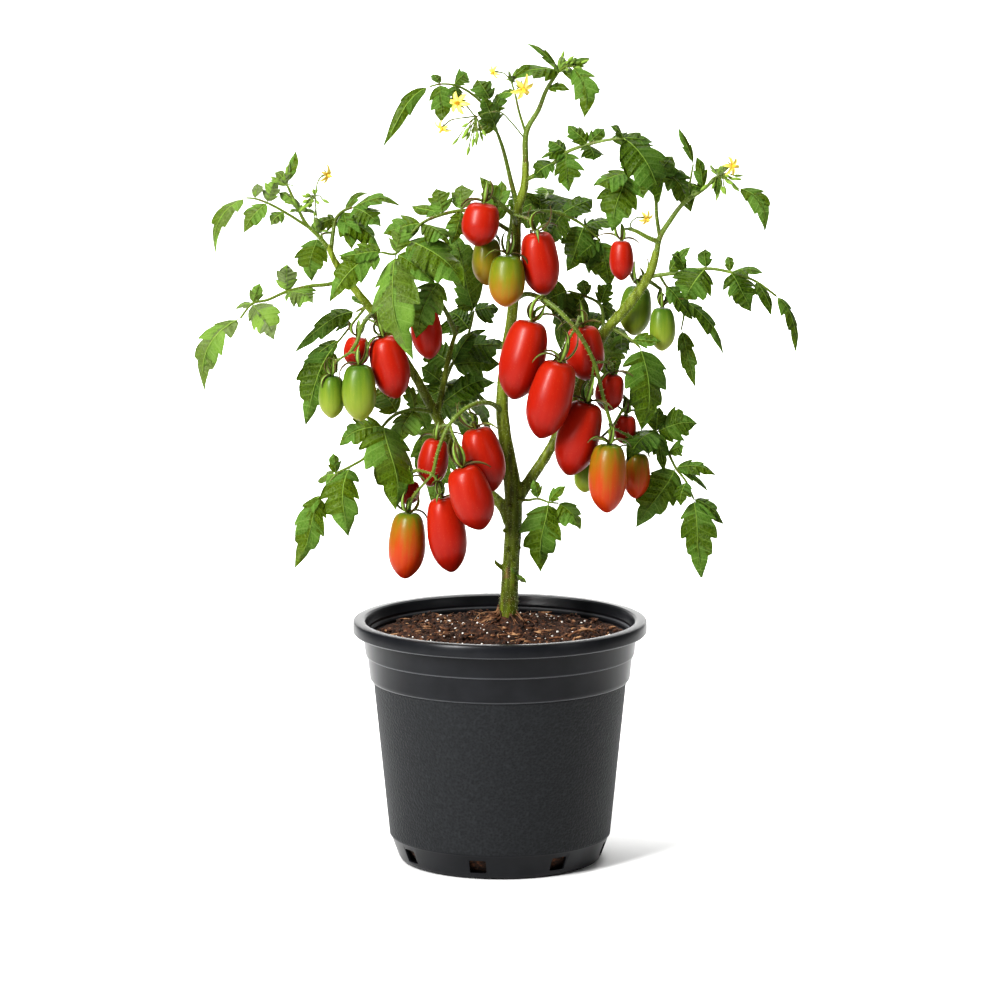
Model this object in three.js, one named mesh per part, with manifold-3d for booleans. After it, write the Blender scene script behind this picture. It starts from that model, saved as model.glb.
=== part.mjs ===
// A bush plum-tomato plant in a round nursery pot, in millimetres, +Z up.
// The origin is the centre of the pot's flat base, -Y is the side that faces the viewer.
import * as THREE from "three";
import { mergeVertices } from "three/addons/utils/BufferGeometryUtils.js";
import Module from "manifold-3d";

const wasm = await Module();
wasm.setup();

// Driving dimensions of the pot
const POT_HEIGHT = 232;
const RIM_RADIUS = 140;
const LIP_HEIGHT = 12.5;
const LIP_WIDTH = 9.5;
const BASE_RADIUS = 91;
const FOOT_HEIGHT = 24;
const WALL = 3;
const FLOOR = 5;
const POT_SEGMENTS = 26;
const DRAIN_HOLES = 8;
const DRAIN_SIZE = [16, 12, 13];
const DRAIN_LIFT = 13;
const DRAIN_TURN = 33;

// Driving dimensions of the soil
const SOIL_EDGE = 212;
const SOIL_MOUND = 10;
const SOIL_ROUGHNESS = 2.2;
const SOIL_SEGMENTS = 24;
const SOIL_RINGS = [0.26, 0.5, 0.76, 1];
const STEM_DEPTH = 20;

// Gaps and thicknesses
const GAP = 0.35;
const BLADE_THICKNESS = 0.8;
const BLADE_ARCH = 0.1;
const BLADE_FOLD = 0.28;
const PETAL_THICKNESS = 0.8;
const SLIVER = 0.1;
const FULLNESS = 1.25;

const GREEN_STEM = 0x6f8f33;
const GREEN_LEAF = 0x3f7426;
const BLACK_POT = 0x36373a;
const BROWN_SOIL = 0x43291b;
const YELLOW = 0xf2d22c;
const RIPENESS = { red: 0xd8240f, orange: 0xc9641d, turning: 0xb98a2c, olive: 0xa07d24, green: 0x8da63c };

// Leaves turn their upper faces up and towards the viewer, those at the back up and away.
const FRONT = [0, -0.75, 0.65];
const BACK = [0, 0.6, 0.8];

// The trunk and its main branches: the points of each centre line, its radii from root to end, its sides
const TRUNK_FOOT = [7, 0, 0];
const STEMS = [
  {
    path: [[7, 0, 203], [7, 0, 224], [9, 0, 260], [11, 0, 294], [13, 0, 332], [11, 1, 365], [5, 2, 404],
      [2, 4, 437], [6, 6, 484], [12, 6, 527], [15, 8, 584], [16, 8, 618], [23, 6, 645], [24, 5, 668]],
    radii: [9.6, 9.2, 8.4, 8, 8.2, 8, 6.6, 6, 5.6, 5.2, 4.8, 4.6, 4, 3.4],
    sides: 8,
  },
  {
    path: [[12, 0, 340], [30, 2, 368], [46, 6, 392], [66, 12, 431], [85, 12, 474], [99, 8, 505],
      [123, 0, 535], [141, -5, 563], [147, -7, 585]],
    radii: [6, 5.4, 5, 4.8, 4.8, 4.8, 4.8, 4.4, 3.6],
    sides: 7,
  },
  {
    path: [[9, 0, 325], [3, 4, 339], [-14, 12, 355], [-38, 18, 379], [-58, 18, 419], [-81, 14, 464],
      [-104, 6, 501], [-120, 2, 526], [-140, -2, 552], [-155, -4, 574], [-162, -5, 590]],
    radii: [6, 5.6, 5, 4.8, 4.8, 4.4, 4.2, 4.2, 3.8, 3.2, 2.8],
    sides: 7,
  },
  {
    path: [[-60, 18, 422], [-54, 24, 453], [-47, 28, 486], [-40, 30, 509]],
    radii: [3.4, 2.8, 2.5, 2],
    sides: 5,
  },
  { path: [[9, 0, 305], [17, -7, 312], [19, -9, 317]], radii: [2.4, 2, 1.2], sides: 5 },
  { path: [[7, 0, 278], [-3, -5, 286], [-5, -6, 290]], radii: [2.6, 2, 1], sides: 5 },
];

// Fruit trusses: the peduncle's centre line, then each fruit with the peduncle point that carries it,
// the middle of its shoulder, its tip, its width and how ripe it is
const TRUSSES = [
  {
    name: "truss_top",
    peduncle: [[15, 6, 609], [11, -14, 620], [-1, -27, 632], [-10, -34, 641]],
    fruits: [
      { from: 3, top: [-15, -36, 633], tip: [-21, -36, 592], width: 36, ripe: "red" },
      { from: 2, top: [-12, -8, 597], tip: [-12, -8, 552], width: 29, ripe: "olive" },
      { from: 1, top: [7, -36, 584], tip: [5, -36, 535], width: 34, ripe: "turning" },
      { from: 1, top: [34, -20, 604], tip: [42, -20, 544], width: 36, ripe: "red" },
    ],
  },
  {
    name: "truss_upper_right",
    on: "shoot_right_tip",
    peduncle: [[149, -8, 593], [138, -12, 598], [127, -12, 604], [120, -11, 606]],
    fruits: [{ from: 3, top: [114, -10, 595], tip: [114, -10, 557], width: 23, ripe: "red" }],
    stalks: [[[127, -12, 603], [122, -15, 610], [128, -18, 617], [136, -21, 617]]],
  },
  {
    name: "truss_right",
    peduncle: [[135, -2, 553], [142, 10, 553], [152, 14, 546]],
    fruits: [
      { from: 1, top: [131, 28, 548], tip: [127, 28, 500], width: 31, ripe: "green" },
      { from: 2, top: [153, 6, 530], tip: [153, 6, 488], width: 26, ripe: "green" },
    ],
  },
  {
    name: "truss_centre",
    peduncle: [[12, 6, 535], [26, -16, 545], [47, -36, 538], [70, -45, 516], [88, -44, 484],
      [97, -40, 449], [105, -40, 422]],
    fruits: [
      { from: 2, top: [30, -38, 523], tip: [12, -38, 448], width: 42, ripe: "red" },
      { from: 3, top: [56, -64, 488], tip: [37, -64, 415], width: 42, ripe: "red" },
      { from: 4, top: [82, -38, 446], tip: [64, -38, 376], width: 41, ripe: "red" },
      { from: 6, top: [102, -61, 410], tip: [100, -60, 344], width: 36, ripe: "orange" },
      { from: 6, top: [130, -14, 394], tip: [128, -14, 350], width: 25, ripe: "orange" },
      { from: 6, top: [82, -8, 384], tip: [80, -8, 355], width: 22, ripe: "green" },
      { from: 3, top: [77, -18, 515], tip: [83, -18, 463], width: 37, ripe: "red" },
      { from: 4, top: [106, -14, 469], tip: [101, -12, 433], width: 27, ripe: "red" },
      { from: 6, top: [119, -8, 429], tip: [117, -6, 401], width: 22, ripe: "red" },
    ],
  },
  {
    name: "truss_lower",
    peduncle: [[3, 4, 430], [-11, -16, 442], [-30, -32, 440], [-47, -40, 425], [-57, -42, 403],
      [-63, -40, 378]],
    fruits: [
      { from: 2, top: [-23, -34, 421], tip: [-7, -34, 360], width: 39, ripe: "red" },
      { from: 3, top: [-35, -66, 389], tip: [-17, -66, 329], width: 39, ripe: "red" },
      { from: 5, top: [-55, -40, 356], tip: [-45, -40, 284], width: 37, ripe: "red" },
      { from: 5, top: [-86, -30, 340], tip: [-90, -30, 276], width: 35, ripe: "orange" },
      { from: 3, top: [-60, -4, 406], tip: [-67, -4, 360], width: 29, ripe: "red" },
      { from: 5, top: [-86, -6, 366], tip: [-88, -6, 343], width: 24, ripe: "red" },
    ],
  },
  {
    name: "truss_left",
    peduncle: [[-120, 0, 524], [-125, -16, 522], [-130, -28, 514], [-134, -34, 502], [-140, -32, 492]],
    fruits: [
      { from: 1, top: [-110, -24, 506], tip: [-97, -24, 447], width: 36, ripe: "red" },
      { from: 4, top: [-132, -40, 482], tip: [-131, -40, 428], width: 33, ripe: "green" },
      { from: 4, top: [-158, -24, 469], tip: [-158, -24, 428], width: 25, ripe: "green" },
      { from: 2, top: [-134, -12, 504], tip: [-136, -12, 475], width: 25, ripe: "red" },
    ],
  },
  {
    name: "truss_back_left",
    peduncle: [[-42, 28, 501], [-51, 16, 524], [-60, 4, 539], [-66, -3, 544]],
    fruits: [{ from: 3, top: [-72, -6, 533], tip: [-66, -6, 482], width: 29, ripe: "red" }],
  },
];

// Leaves and leafy shoots. A frond has a rachis, its radius at the root, and leaflets, each with the
// number of the rachis point that it grows from, its tip, its width and how far it bows to its side.
const LEAVES = [
  {
    name: "shoot_apex",
    fronds: [
      {
        rachis: [[24, 5, 664], [25, 4, 696], [36, 2, 716], [44, 0, 736], [55, -2, 753]],
        radius: 3.2,
        leaflets: [[4, [26, -10, 781], 7], [4, [97, 6, 736], 8], [4, [28, -8, 749], 12],
          [3, [65, -6, 736], 7]],
      },
      {
        rachis: [[55, -2, 753], [62, -8, 758], [67, -14, 758]],
        leaflets: [[2, [77, -28, 711], 21, -7], [1, [84, -2, 766], 8]],
      },
      {
        rachis: [[25, 4, 692], [18, 0, 714], [14, -4, 732], [10, -4, 745]],
        leaflets: [[3, [28, -6, 760], 8], [2, [-3, 12, 729], 9]],
      },
    ],
    stalks: [
      [[14, -3, 730], [17, -12, 738], [21, -18, 738]],
      [[10, -4, 744], [4, -6, 751], [-5, -10, 753]],
      [[24, 5, 688], [11, -8, 705], [0, -20, 716], [-13, -28, 716], [-22, -30, 713], [-32, -37, 724],
      [-38, -39, 726]],
      [[-22, -30, 713], [-34, -36, 712], [-46, -40, 710], [-53, -42, 704]],
    ],
    buds: [[[-22, -30, 713], [-45, -38, 686]], [[-22, -30, 713], [-31, -38, 676]], [[-22, -30, 713],
      [-16, -26, 689]],
      [[55, -2, 753], [84, -8, 764]], [[55, -2, 753], [60, -8, 773]], [[55, -2, 753], [69, -14, 768]]],
  },
  {
    name: "shoot_top_left",
    fronds: [
      {
        rachis: [[16, 8, 626], [10, 6, 650], [3, 3, 679], [-4, 0, 699]],
        radius: 2.8,
        leaflets: [[3, [-21, 8, 706], 11]],
      },
      {
        rachis: [[-4, 0, 699], [-13, -8, 719], [-30, -14, 735], [-43, -18, 741], [-56, -20, 742],
          [-65, -22, 740]],
        leaflets: [[5, [-109, -40, 685], 13, 5], [4, [-55, -34, 708], 19], [3, [-31, -20, 754], 16],
          [3, [-38, -30, 724], 15], [4, [-62, -16, 752], 9]],
      },
      {
        rachis: [[-4, 0, 697], [-6, 10, 714], [-9, 18, 724]],
        leaflets: [[2, [-21, 26, 744], 17], [1, [7, 14, 732], 14]],
      },
    ],
  },
  {
    name: "leaf_upper_right",
    fronds: [
      {
        rachis: [[24, 6, 650], [38, -2, 658], [51, -10, 668], [62, -16, 678], [82, -24, 686],
          [101, -30, 691],
          [115, -36, 693]],
        radius: 2.4,
        leaflets: [[2, [34, -16, 657], 11], [3, [63, -34, 644], 26], [3, [46, -12, 688], 8],
          [4, [97, -20, 702], 17],
          [4, [87, -34, 673], 17], [4, [64, -18, 702], 8], [6, [149, -58, 638], 30], [6, [103, -38, 709],
          12],
          [5, [140, -26, 702], 14]],
      },
    ],
  },
  {
    name: "shoot_right_tip",
    fronds: [
      {
        rachis: [[147, -7, 582], [150, -8, 597], [160, -10, 614], [172, -12, 630], [190, -14, 643],
          [204, -16, 656]],
        radius: 3,
        leaflets: [[5, [202, -26, 638], 7], [4, [177, -22, 649], 7]],
      },
      {
        rachis: [[204, -16, 656], [214, -18, 652], [222, -20, 645]],
        leaflets: [[2, [247, -30, 605], 15, -7]],
      },
      {
        rachis: [[174, -12, 632], [178, -8, 649], [181, -6, 666]],
        leaflets: [[2, [169, -8, 701], 7]],
      },
      {
        rachis: [[150, -8, 597], [147, -6, 618], [146, -6, 633], [141, -8, 648], [131, -14, 656],
          [120, -18, 658]],
        radius: 2,
        leaflets: [[5, [87, -30, 650], 15], [5, [108, -30, 606], 22], [4, [133, -26, 636], 15],
          [4, [114, -4, 672], 12],
          [3, [158, 6, 669], 11]],
      },
      {
        rachis: [[146, -6, 633], [153, 2, 650], [158, 4, 658]],
        leaflets: [[2, [180, -4, 622], 19], [2, [178, 14, 653], 17]],
      },
    ],
    stalks: [[[202, -16, 655], [209, -20, 664], [216, -24, 666]]],
    buds: [[[204, -16, 656], [187, -24, 643]], [[204, -16, 656], [197, -28, 644]], [[204, -16, 656],
      [209, -30, 640]],
      [[204, -16, 656], [217, -28, 650]]],
  },
  {
    name: "leaf_right_long",
    fronds: [
      {
        rachis: [[140, -4, 560], [158, -8, 563], [175, -12, 565], [193, -16, 569], [216, -20, 566],
          [239, -22, 558],
          [259, -24, 544]],
        radius: 2.2,
        leaflets: [[3, [172, -30, 542], 28], [3, [193, -10, 587], 10], [4, [213, -14, 581], 7],
          [4, [233, -38, 533], 28],
          [4, [248, -26, 567], 11], [5, [255, -34, 529], 11], [6, [281, -30, 494], 15, -4]],
      },
      {
        rachis: [[150, -6, 562], [157, 4, 550], [165, 8, 543], [174, 8, 536]],
        leaflets: [[3, [215, 6, 484], 17]],
      },
      { rachis: [[165, 8, 543], [174, 20, 525], [172, 26, 506]], leaflets: [[2, [187, 24, 450], 12]] },
    ],
  },
  {
    name: "leaf_right_mid",
    fronds: [
      {
        rachis: [[106, 6, 510], [115, 2, 505], [124, -4, 500], [132, -6, 493]],
        radius: 2,
        leaflets: [[3, [140, -20, 416], 32, -6], [2, [151, -12, 500], 10], [1, [117, 16, 486], 11]],
      },
    ],
  },
  {
    name: "leaf_right_low",
    fronds: [
      {
        rachis: [[87, 12, 467], [112, 20, 447], [133, 14, 429], [148, 4, 411], [159, -4, 393],
          [166, -8, 379],
          [176, -12, 366], [183, -14, 350]],
        radius: 2,
        leaflets: [[3, [124, -52, 402], 19], [3, [151, 2, 432], 10], [3, [186, -2, 420], 21],
          [4, [171, -8, 397], 11],
          [5, [129, -22, 324], 26, -6], [5, [202, -2, 353], 8], [6, [170, -26, 345], 13],
          [7, [187, -26, 276], 25, -6], [7, [214, -12, 327], 14]],
      },
    ],
  },
  {
    name: "shoot_left_tip",
    fronds: [
      {
        rachis: [[-162, -5, 588], [-171, -6, 599], [-182, -7, 610], [-191, -8, 628], [-200, -9, 648]],
        radius: 2.4,
        leaflets: [[4, [-192, -10, 679], 7], [4, [-212, 0, 658], 9]],
      },
      {
        rachis: [[-180, -7, 607], [-202, -14, 622], [-218, -18, 631], [-229, -20, 635], [-237, -22, 636]],
        leaflets: [[1, [-214, -22, 610], 10], [2, [-240, -30, 604], 13], [3, [-227, -12, 649], 9],
          [4, [-268, -40, 588], 15, 6], [2, [-209, -10, 652], 12]],
      },
    ],
    stalks: [[[-166, -6, 595], [-171, -9, 613], [-173, -10, 637], [-169, -12, 653], [-163, -14, 657]]],
    buds: [[[-173, -10, 637], [-184, -12, 625]], [[-172, -10, 625], [-174, -18, 618]], [[-173, -10, 637],
      [-159, -14, 630]]],
  },
  {
    name: "leaf_left_upper",
    fronds: [
      {
        rachis: [[-159, -4, 582], [-157, 2, 601], [-154, 6, 614], [-147, 8, 621], [-139, 8, 624]],
        radius: 2.4,
        leaflets: [[4, [-95, 2, 630], 13], [4, [-111, -10, 609], 21], [3, [-141, -6, 589], 13],
          [2, [-111, -4, 588], 22], [2, [-181, 14, 604], 14],
          [3, [-124, 18, 638], 8]],
      },
      { rachis: [[-157, 2, 601], [-166, 12, 599], [-172, 14, 595]], leaflets: [[2, [-178, 10, 554], 20]] },
    ],
  },
  {
    name: "leaf_left_long",
    fronds: [
      {
        rachis: [[-146, -2, 557], [-162, -8, 553], [-178, -12, 552], [-201, -18, 547], [-218, -22, 540],
          [-232, -26, 537], [-243, -30, 524]],
        radius: 2.2,
        leaflets: [[3, [-175, -34, 540], 22], [3, [-214, -12, 561], 9], [5, [-212, -42, 505], 25],
          [5, [-251, -20, 531], 9], [5, [-225, -22, 556], 9], [6, [-278, -48, 457], 27, 8]],
      },
    ],
  },
  {
    name: "leaf_left_mid",
    fronds: [
      {
        rachis: [[-122, 4, 525], [-127, 14, 529], [-136, 20, 524]],
        radius: 2,
        leaflets: [[2, [-195, 14, 490], 16], [1, [-140, 24, 540], 8]],
      },
      {
        rachis: [[-127, 14, 529], [-140, 22, 512], [-152, 20, 497], [-158, 16, 490]],
        leaflets: [[3, [-180, 2, 418], 25], [2, [-192, 16, 465], 14], [1, [-158, 34, 505], 9]],
      },
    ],
  },
  {
    name: "leaf_front_left",
    fronds: [
      {
        rachis: [[15, 8, 598], [-2, -3, 610], [-19, -9, 621], [-36, -12, 623], [-54, -18, 620],
          [-73, -32, 613],
          [-87, -46, 599], [-97, -54, 587], [-110, -60, 589]],
        radius: 2.2,
        leaflets: [[1, [-19, 8, 655], 9], [1, [-1, 14, 650], 12], [3, [-36, -2, 645], 11],
          [4, [-60, -12, 642], 11], [4, [-84, -4, 628], 10], [5, [-48, -46, 599], 17],
          [5, [-109, -40, 605], 18], [6, [-31, -66, 563], 26], [7, [-83, -88, 494], 34, 5],
          [8, [-158, -76, 545], 22],
          [8, [-134, -58, 598], 9]],
      },
    ],
  },
  {
    name: "leaf_left_low",
    fronds: [
      {
        rachis: [[-65, 14, 429], [-81, 8, 432], [-97, 2, 429], [-110, -8, 419], [-126, -16, 391],
          [-141, -22, 382],
          [-155, -26, 375], [-168, -32, 356]],
        radius: 2,
        leaflets: [[1, [-94, -8, 403], 22], [2, [-114, 4, 451], 16], [3, [-100, -42, 350], 39],
          [3, [-152, -14, 402], 16],
          [5, [-136, -40, 318], 26, 8], [6, [-156, -24, 395], 11], [6, [-174, -16, 368], 11],
          [7, [-192, -46, 289], 21, -5],
          [7, [-195, -34, 329], 11]],
      },
    ],
  },
  {
    name: "leaf_lower_small",
    fronds: [
      {
        rachis: [[13, -2, 348], [26, -10, 348], [36, -14, 350], [46, -16, 347], [55, -16, 346]],
        radius: 1.6,
        leaflets: [[3, [36, -26, 286], 26, -5], [4, [77, -22, 323], 19]],
      },
    ],
  },
  {
    name: "leaf_back_upper",
    facing: BACK,
    fronds: [
      {
        rachis: [[17, 8, 616], [38, 24, 619], [59, 36, 615], [80, 42, 603], [95, 44, 589]],
        radius: 2.2,
        facing: FRONT,
        leaflets: [[1, [39, 30, 636], 13], [2, [88, 50, 630], 17], [2, [47, 46, 585], 21],
          [3, [95, 46, 594], 17], [3, [63, 52, 558], 25],
          [3, [110, 54, 607], 17], [4, [101, 46, 545], 13], [4, [72, 40, 573], 15]],
      },
      {
        rachis: [[38, 24, 619], [43, 60, 626], [46, 100, 628], [48, 140, 622]],
        leaflets: [[1, [72, 84, 610], 28], [1, [11, 76, 603], 28], [2, [77, 132, 607], 30],
          [2, [14, 120, 608], 28],
          [3, [55, 190, 578], 32], [3, [37, 168, 629], 15]],
      },
    ],
  },
  {
    name: "leaf_back_left",
    facing: BACK,
    fronds: [
      {
        rachis: [[-56, 22, 435], [-53, 34, 452], [-46, 42, 470], [-36, 46, 486], [-29, 46, 503],
          [-25, 44, 521]],
        radius: 2.2,
        facing: FRONT,
        leaflets: [[1, [-11, 48, 437], 30], [2, [-72, 52, 488], 22], [3, [4, 48, 493], 18],
          [4, [-50, 52, 520], 24],
          [5, [-2, 44, 526], 17], [5, [-48, 40, 599], 25], [2, [0, 40, 472], 12], [1, [-76, 44, 468],
          16], [5, [-40, 48, 543], 17]],
      },
      {
        rachis: [[-53, 34, 452], [-48, 70, 444], [-50, 110, 427], [-59, 150, 401]],
        leaflets: [[1, [-19, 90, 410], 30], [1, [-81, 84, 427], 28], [2, [-23, 140, 383], 32],
          [2, [-93, 128, 395], 30],
          [3, [-63, 180, 312], 34]],
      },
    ],
  },
  {
    name: "leaf_back_centre",
    facing: BACK,
    fronds: [
      {
        rachis: [[95, 10, 493], [98, 24, 513], [95, 34, 529], [82, 40, 536], [65, 42, 541]],
        radius: 2.2,
        facing: FRONT,
        leaflets: [[1, [69, 46, 511], 19], [1, [126, 30, 488], 19], [2, [107, 44, 548], 13],
          [3, [79, 46, 552], 11], [4, [43, 46, 532], 18],
          [3, [57, 52, 514], 15]],
      },
      {
        rachis: [[98, 24, 513], [96, 64, 501], [87, 104, 488], [73, 144, 471]],
        leaflets: [[1, [123, 84, 477], 30], [1, [67, 78, 486], 26], [2, [113, 132, 447], 32],
          [2, [54, 124, 452], 30],
          [3, [59, 186, 396], 34], [3, [59, 176, 487], 17]],
      },
    ],
  },
];

// Open flowers: the end of the stalk that carries each, the way it faces and its radius
const FLOWERS = [
  { name: "flower_left", at: [-163, -14, 657], facing: [0.8, -0.5, -0.2], radius: 9 },
  { name: "flower_top_left_1", at: [-38, -39, 726], facing: [-0.5, -0.85, 0.1], radius: 12 },
  { name: "flower_top_left_2", at: [-53, -42, 704], facing: [-0.5, -0.4, -0.8], radius: 9 },
  { name: "flower_apex", at: [21, -18, 738], facing: [0.3, -0.85, -0.3], radius: 12 },
  { name: "flower_apex_small", at: [-5, -10, 753], facing: [-0.7, -0.6, -0.3], radius: 7 },
  { name: "flower_right", at: [216, -24, 666], facing: [0.5, -0.75, 0.1], radius: 9 },
  { name: "flower_upper_right", at: [136, -21, 617], facing: [0.6, -0.7, -0.4], radius: 8 },
];

const vec = (p) => new THREE.Vector3(...p);

// A repeatable number from 0 to 1 for a place or a counter.
function chance(seed) {
  const wave = Math.sin(seed * 12.9898) * 43758.5453;
  return wave - Math.floor(wave);
}

// The value at a share of the way along a list of values.
function along(values, share) {
  const place = share * (values.length - 1);
  const low = Math.min(Math.floor(place), values.length - 2);
  return THREE.MathUtils.lerp(values[low], values[low + 1], place - low);
}

// A closed geometry as a solid that can be joined and cut.
function solid(geometry) {
  const plain = geometry.clone();
  plain.deleteAttribute("normal");
  plain.deleteAttribute("uv");
  const merged = mergeVertices(plain, 1e-3);
  return new wasm.Manifold(
    new wasm.Mesh({
      numProp: 3,
      vertProperties: merged.getAttribute("position").array,
      triVerts: new Uint32Array(merged.index.array),
    }),
  );
}

// The largest body of a solid, so that a scrap left by a cut is dropped.
function largest(shape) {
  return shape.decompose().reduce((a, b) => (b.volume() > a.volume() ? b : a));
}

function join(shapes) {
  return shapes.reduce((whole, shape) => whole.add(shape));
}

function mesh(name, shape, colour, roughness) {
  const made = shape.getMesh();
  const geometry = new THREE.BufferGeometry();
  geometry.setAttribute("position", new THREE.BufferAttribute(new Float32Array(made.vertProperties), 3));
  geometry.setIndex(new THREE.BufferAttribute(new Uint32Array(made.triVerts), 1));
  geometry.computeVertexNormals();
  const material = new THREE.MeshStandardMaterial({ color: colour, roughness, flatShading: true });
  const result = new THREE.Mesh(geometry, material);
  result.name = name;
  return result;
}

// A tapered round stem: a cylinder whose rings are laid along a smooth curve, one at each given point.
function stem(path, radii, sides, extra = 0) {
  const curve = new THREE.CatmullRomCurve3(path.map(vec), false, "centripetal");
  curve.getUtoTmapping = (share) => share;
  const steps = path.length - 1;
  const frames = curve.computeFrenetFrames(steps);
  const geometry = new THREE.CylinderGeometry(1, 1, 1, sides, steps);
  const place = geometry.getAttribute("position");
  for (let i = 0; i < place.count; i++) {
    const ring = Math.round((place.getY(i) + 0.5) * steps);
    const radius = along(radii, ring / steps) + extra;
    const point = curve.getPointAt(ring / steps);
    point.addScaledVector(frames.normals[ring], place.getX(i) * radius);
    point.addScaledVector(frames.binormals[ring], -place.getZ(i) * radius);
    place.setXYZ(i, point.x, point.y, point.z);
  }
  return solid(geometry);
}

// Edge places of a leaflet: share of the length at the midrib, share of the length at the edge,
// and share of the half width. Lobes and notches alternate.
const LOBED_EDGE = [[0.26, 0.32, 1], [0.44, 0.43, 0.56], [0.62, 0.68, 0.7]];
const NARROW_EDGE = [[0.34, 0.38, 1], [0.66, 0.7, 0.55]];
const LOBED_WIDTH = 13;

// A lobed, arched and slightly folded leaflet of even thickness, split alike on both faces.
function blade(base, tip, width, bow, facing) {
  const direction = tip.clone().sub(base);
  const length = direction.length();
  direction.normalize();
  const normal = vec(facing);
  normal.addScaledVector(direction, -normal.dot(direction)).normalize();
  const side = direction.clone().cross(normal);
  const middle = base.clone().add(tip).multiplyScalar(0.5);
  middle.addScaledVector(normal, BLADE_ARCH * length);
  middle.z += BLADE_ARCH * length;
  middle.addScaledVector(side, 2 * bow);
  const midrib = new THREE.QuadraticBezierCurve3(base, middle, tip);
  const half = (FULLNESS * width) / 2;
  const seed = base.x + 2 * tip.x + 3 * tip.z;

  // Each row holds the left edge, the midrib where the leaflet is wide enough, and the right edge.
  const lobed = width >= LOBED_WIDTH;
  const rows = (lobed ? LOBED_EDGE : NARROW_EDGE).map(([atRib, atEdge, share], row) => {
    const [left, right] = [-1, 1].map((way) => {
      const wave = 0.24 * (chance(seed + 7 * row + way) - 0.5);
      const edge = midrib.getPoint(atEdge + 0.03 * way);
      edge.addScaledVector(side, way * share * half);
      return edge.addScaledVector(normal, (wave - BLADE_FOLD) * share * half);
    });
    return lobed ? [left, midrib.getPoint(atRib), right] : [left, right];
  });

  const columns = rows[0].length;
  const last = rows.length - 1;
  const at = (row, column) => 1 + columns * row + column;
  const end = 1 + columns * rows.length;
  const faces = [];
  for (let column = 0; column < columns - 1; column++) {
    faces.push([0, at(0, column + 1), at(0, column)]);
    for (let row = 0; row < last; row++) {
      const [a, b] = [at(row, column), at(row, column + 1)];
      const [c, d] = [at(row + 1, column + 1), at(row + 1, column)];
      if (column) faces.push([a, b, d], [b, c, d]);
      else faces.push([a, b, c], [a, c, d]);
    }
    faces.push([at(last, column), at(last, column + 1), end]);
  }
  const rightEdge = rows.map((_, row) => at(row, columns - 1));
  const leftEdge = rows.map((_, row) => at(last - row, 0));
  const rim = [0, ...rightEdge, end, ...leftEdge];

  const points = [base, ...rows.flat(), tip];
  const under = points.length;
  const position = [];
  for (const lift of [0.5, -0.5]) {
    for (const p of points) {
      position.push(...p.clone().addScaledVector(normal, lift * BLADE_THICKNESS).toArray());
    }
  }
  const index = [];
  for (const [a, b, c] of faces) {
    index.push(a, b, c, under + a, under + c, under + b);
  }
  rim.forEach((a, i) => {
    const b = rim[(i + 1) % rim.length];
    index.push(a, under + a, under + b, a, under + b, b);
  });
  const geometry = new THREE.BufferGeometry();
  geometry.setAttribute("position", new THREE.BufferAttribute(new Float32Array(position), 3));
  geometry.setIndex(index);
  return solid(geometry);
}

// A frond: its rachis with the leaflets sunk into it.
function frond({ rachis, radius = 1.5, leaflets, facing }, shootFacing = FRONT) {
  const rib = stem(rachis, [radius, Math.max(1, radius * 0.55)], 3);
  const blades = leaflets.map(([from, tip, width, bow = 0]) =>
    blade(vec(rachis[from]), vec(tip), width, bow, facing ?? shootFacing),
  );
  return join([rib, ...blades]);
}

const stalk = (path) => stem(path, [0.8, 0.7], 3);

// A flower bud: a spindle at the end of a thread.
function bud([from, tip]) {
  const [a, b] = [vec(from), vec(tip)];
  const bend = a.clone().lerp(b, 0.5);
  bend.z += 2;
  const swell = a.clone().lerp(b, 0.8);
  return stem([from, bend.toArray(), swell.toArray(), tip], [0.6, 0.6, 1.6, 0.4], 3);
}

function stemSystem(extra = 0) {
  return join(STEMS.map(({ path, radii, sides }) => stem(path, radii, sides, extra)));
}

function leaf({ name, fronds, stalks = [], buds = [], facing }) {
  const borne = TRUSSES.filter((t) => t.on === name).map(truss);
  const grown = fronds.map((f) => frond(f, facing));
  return join([...grown, ...stalks.map(stalk), ...buds.map(bud), ...borne]);
}

const SEPALS = 4;
const SEPAL_THICKNESS = 0.8;
const SEPAL_REACH = 0.4;
const SEPAL_RISE = 0.55;
const SEAT_RISE = 0.45;

// A plum fruit as a turned profile: radius as a share of the half width, place as a share of the length.
const FRUIT_PROFILE = [[0, 0.03], [0.52, 0], [0.98, 0.24], [0.96, 0.6], [0.55, 0.92], [0, 1]];
const FRUIT_SEGMENTS = 8;

// Turns and moves a geometry made along -Z from the origin so that it runs from top to tip.
function hang(geometry, top, tip) {
  const way = vec(tip).sub(vec(top)).normalize();
  const turn = new THREE.Quaternion().setFromUnitVectors(new THREE.Vector3(0, 0, -1), way);
  return geometry.applyQuaternion(turn).translate(...top);
}

function fruit({ top, tip, width }) {
  const length = vec(top).distanceTo(vec(tip));
  const profile = FRUIT_PROFILE.map(([r, s]) => new THREE.Vector2((r * width) / 2, -s * length)).reverse();
  const turned = new THREE.LatheGeometry(profile, FRUIT_SEGMENTS).rotateX(Math.PI / 2);
  return solid(hang(turned, top, tip));
}

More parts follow.
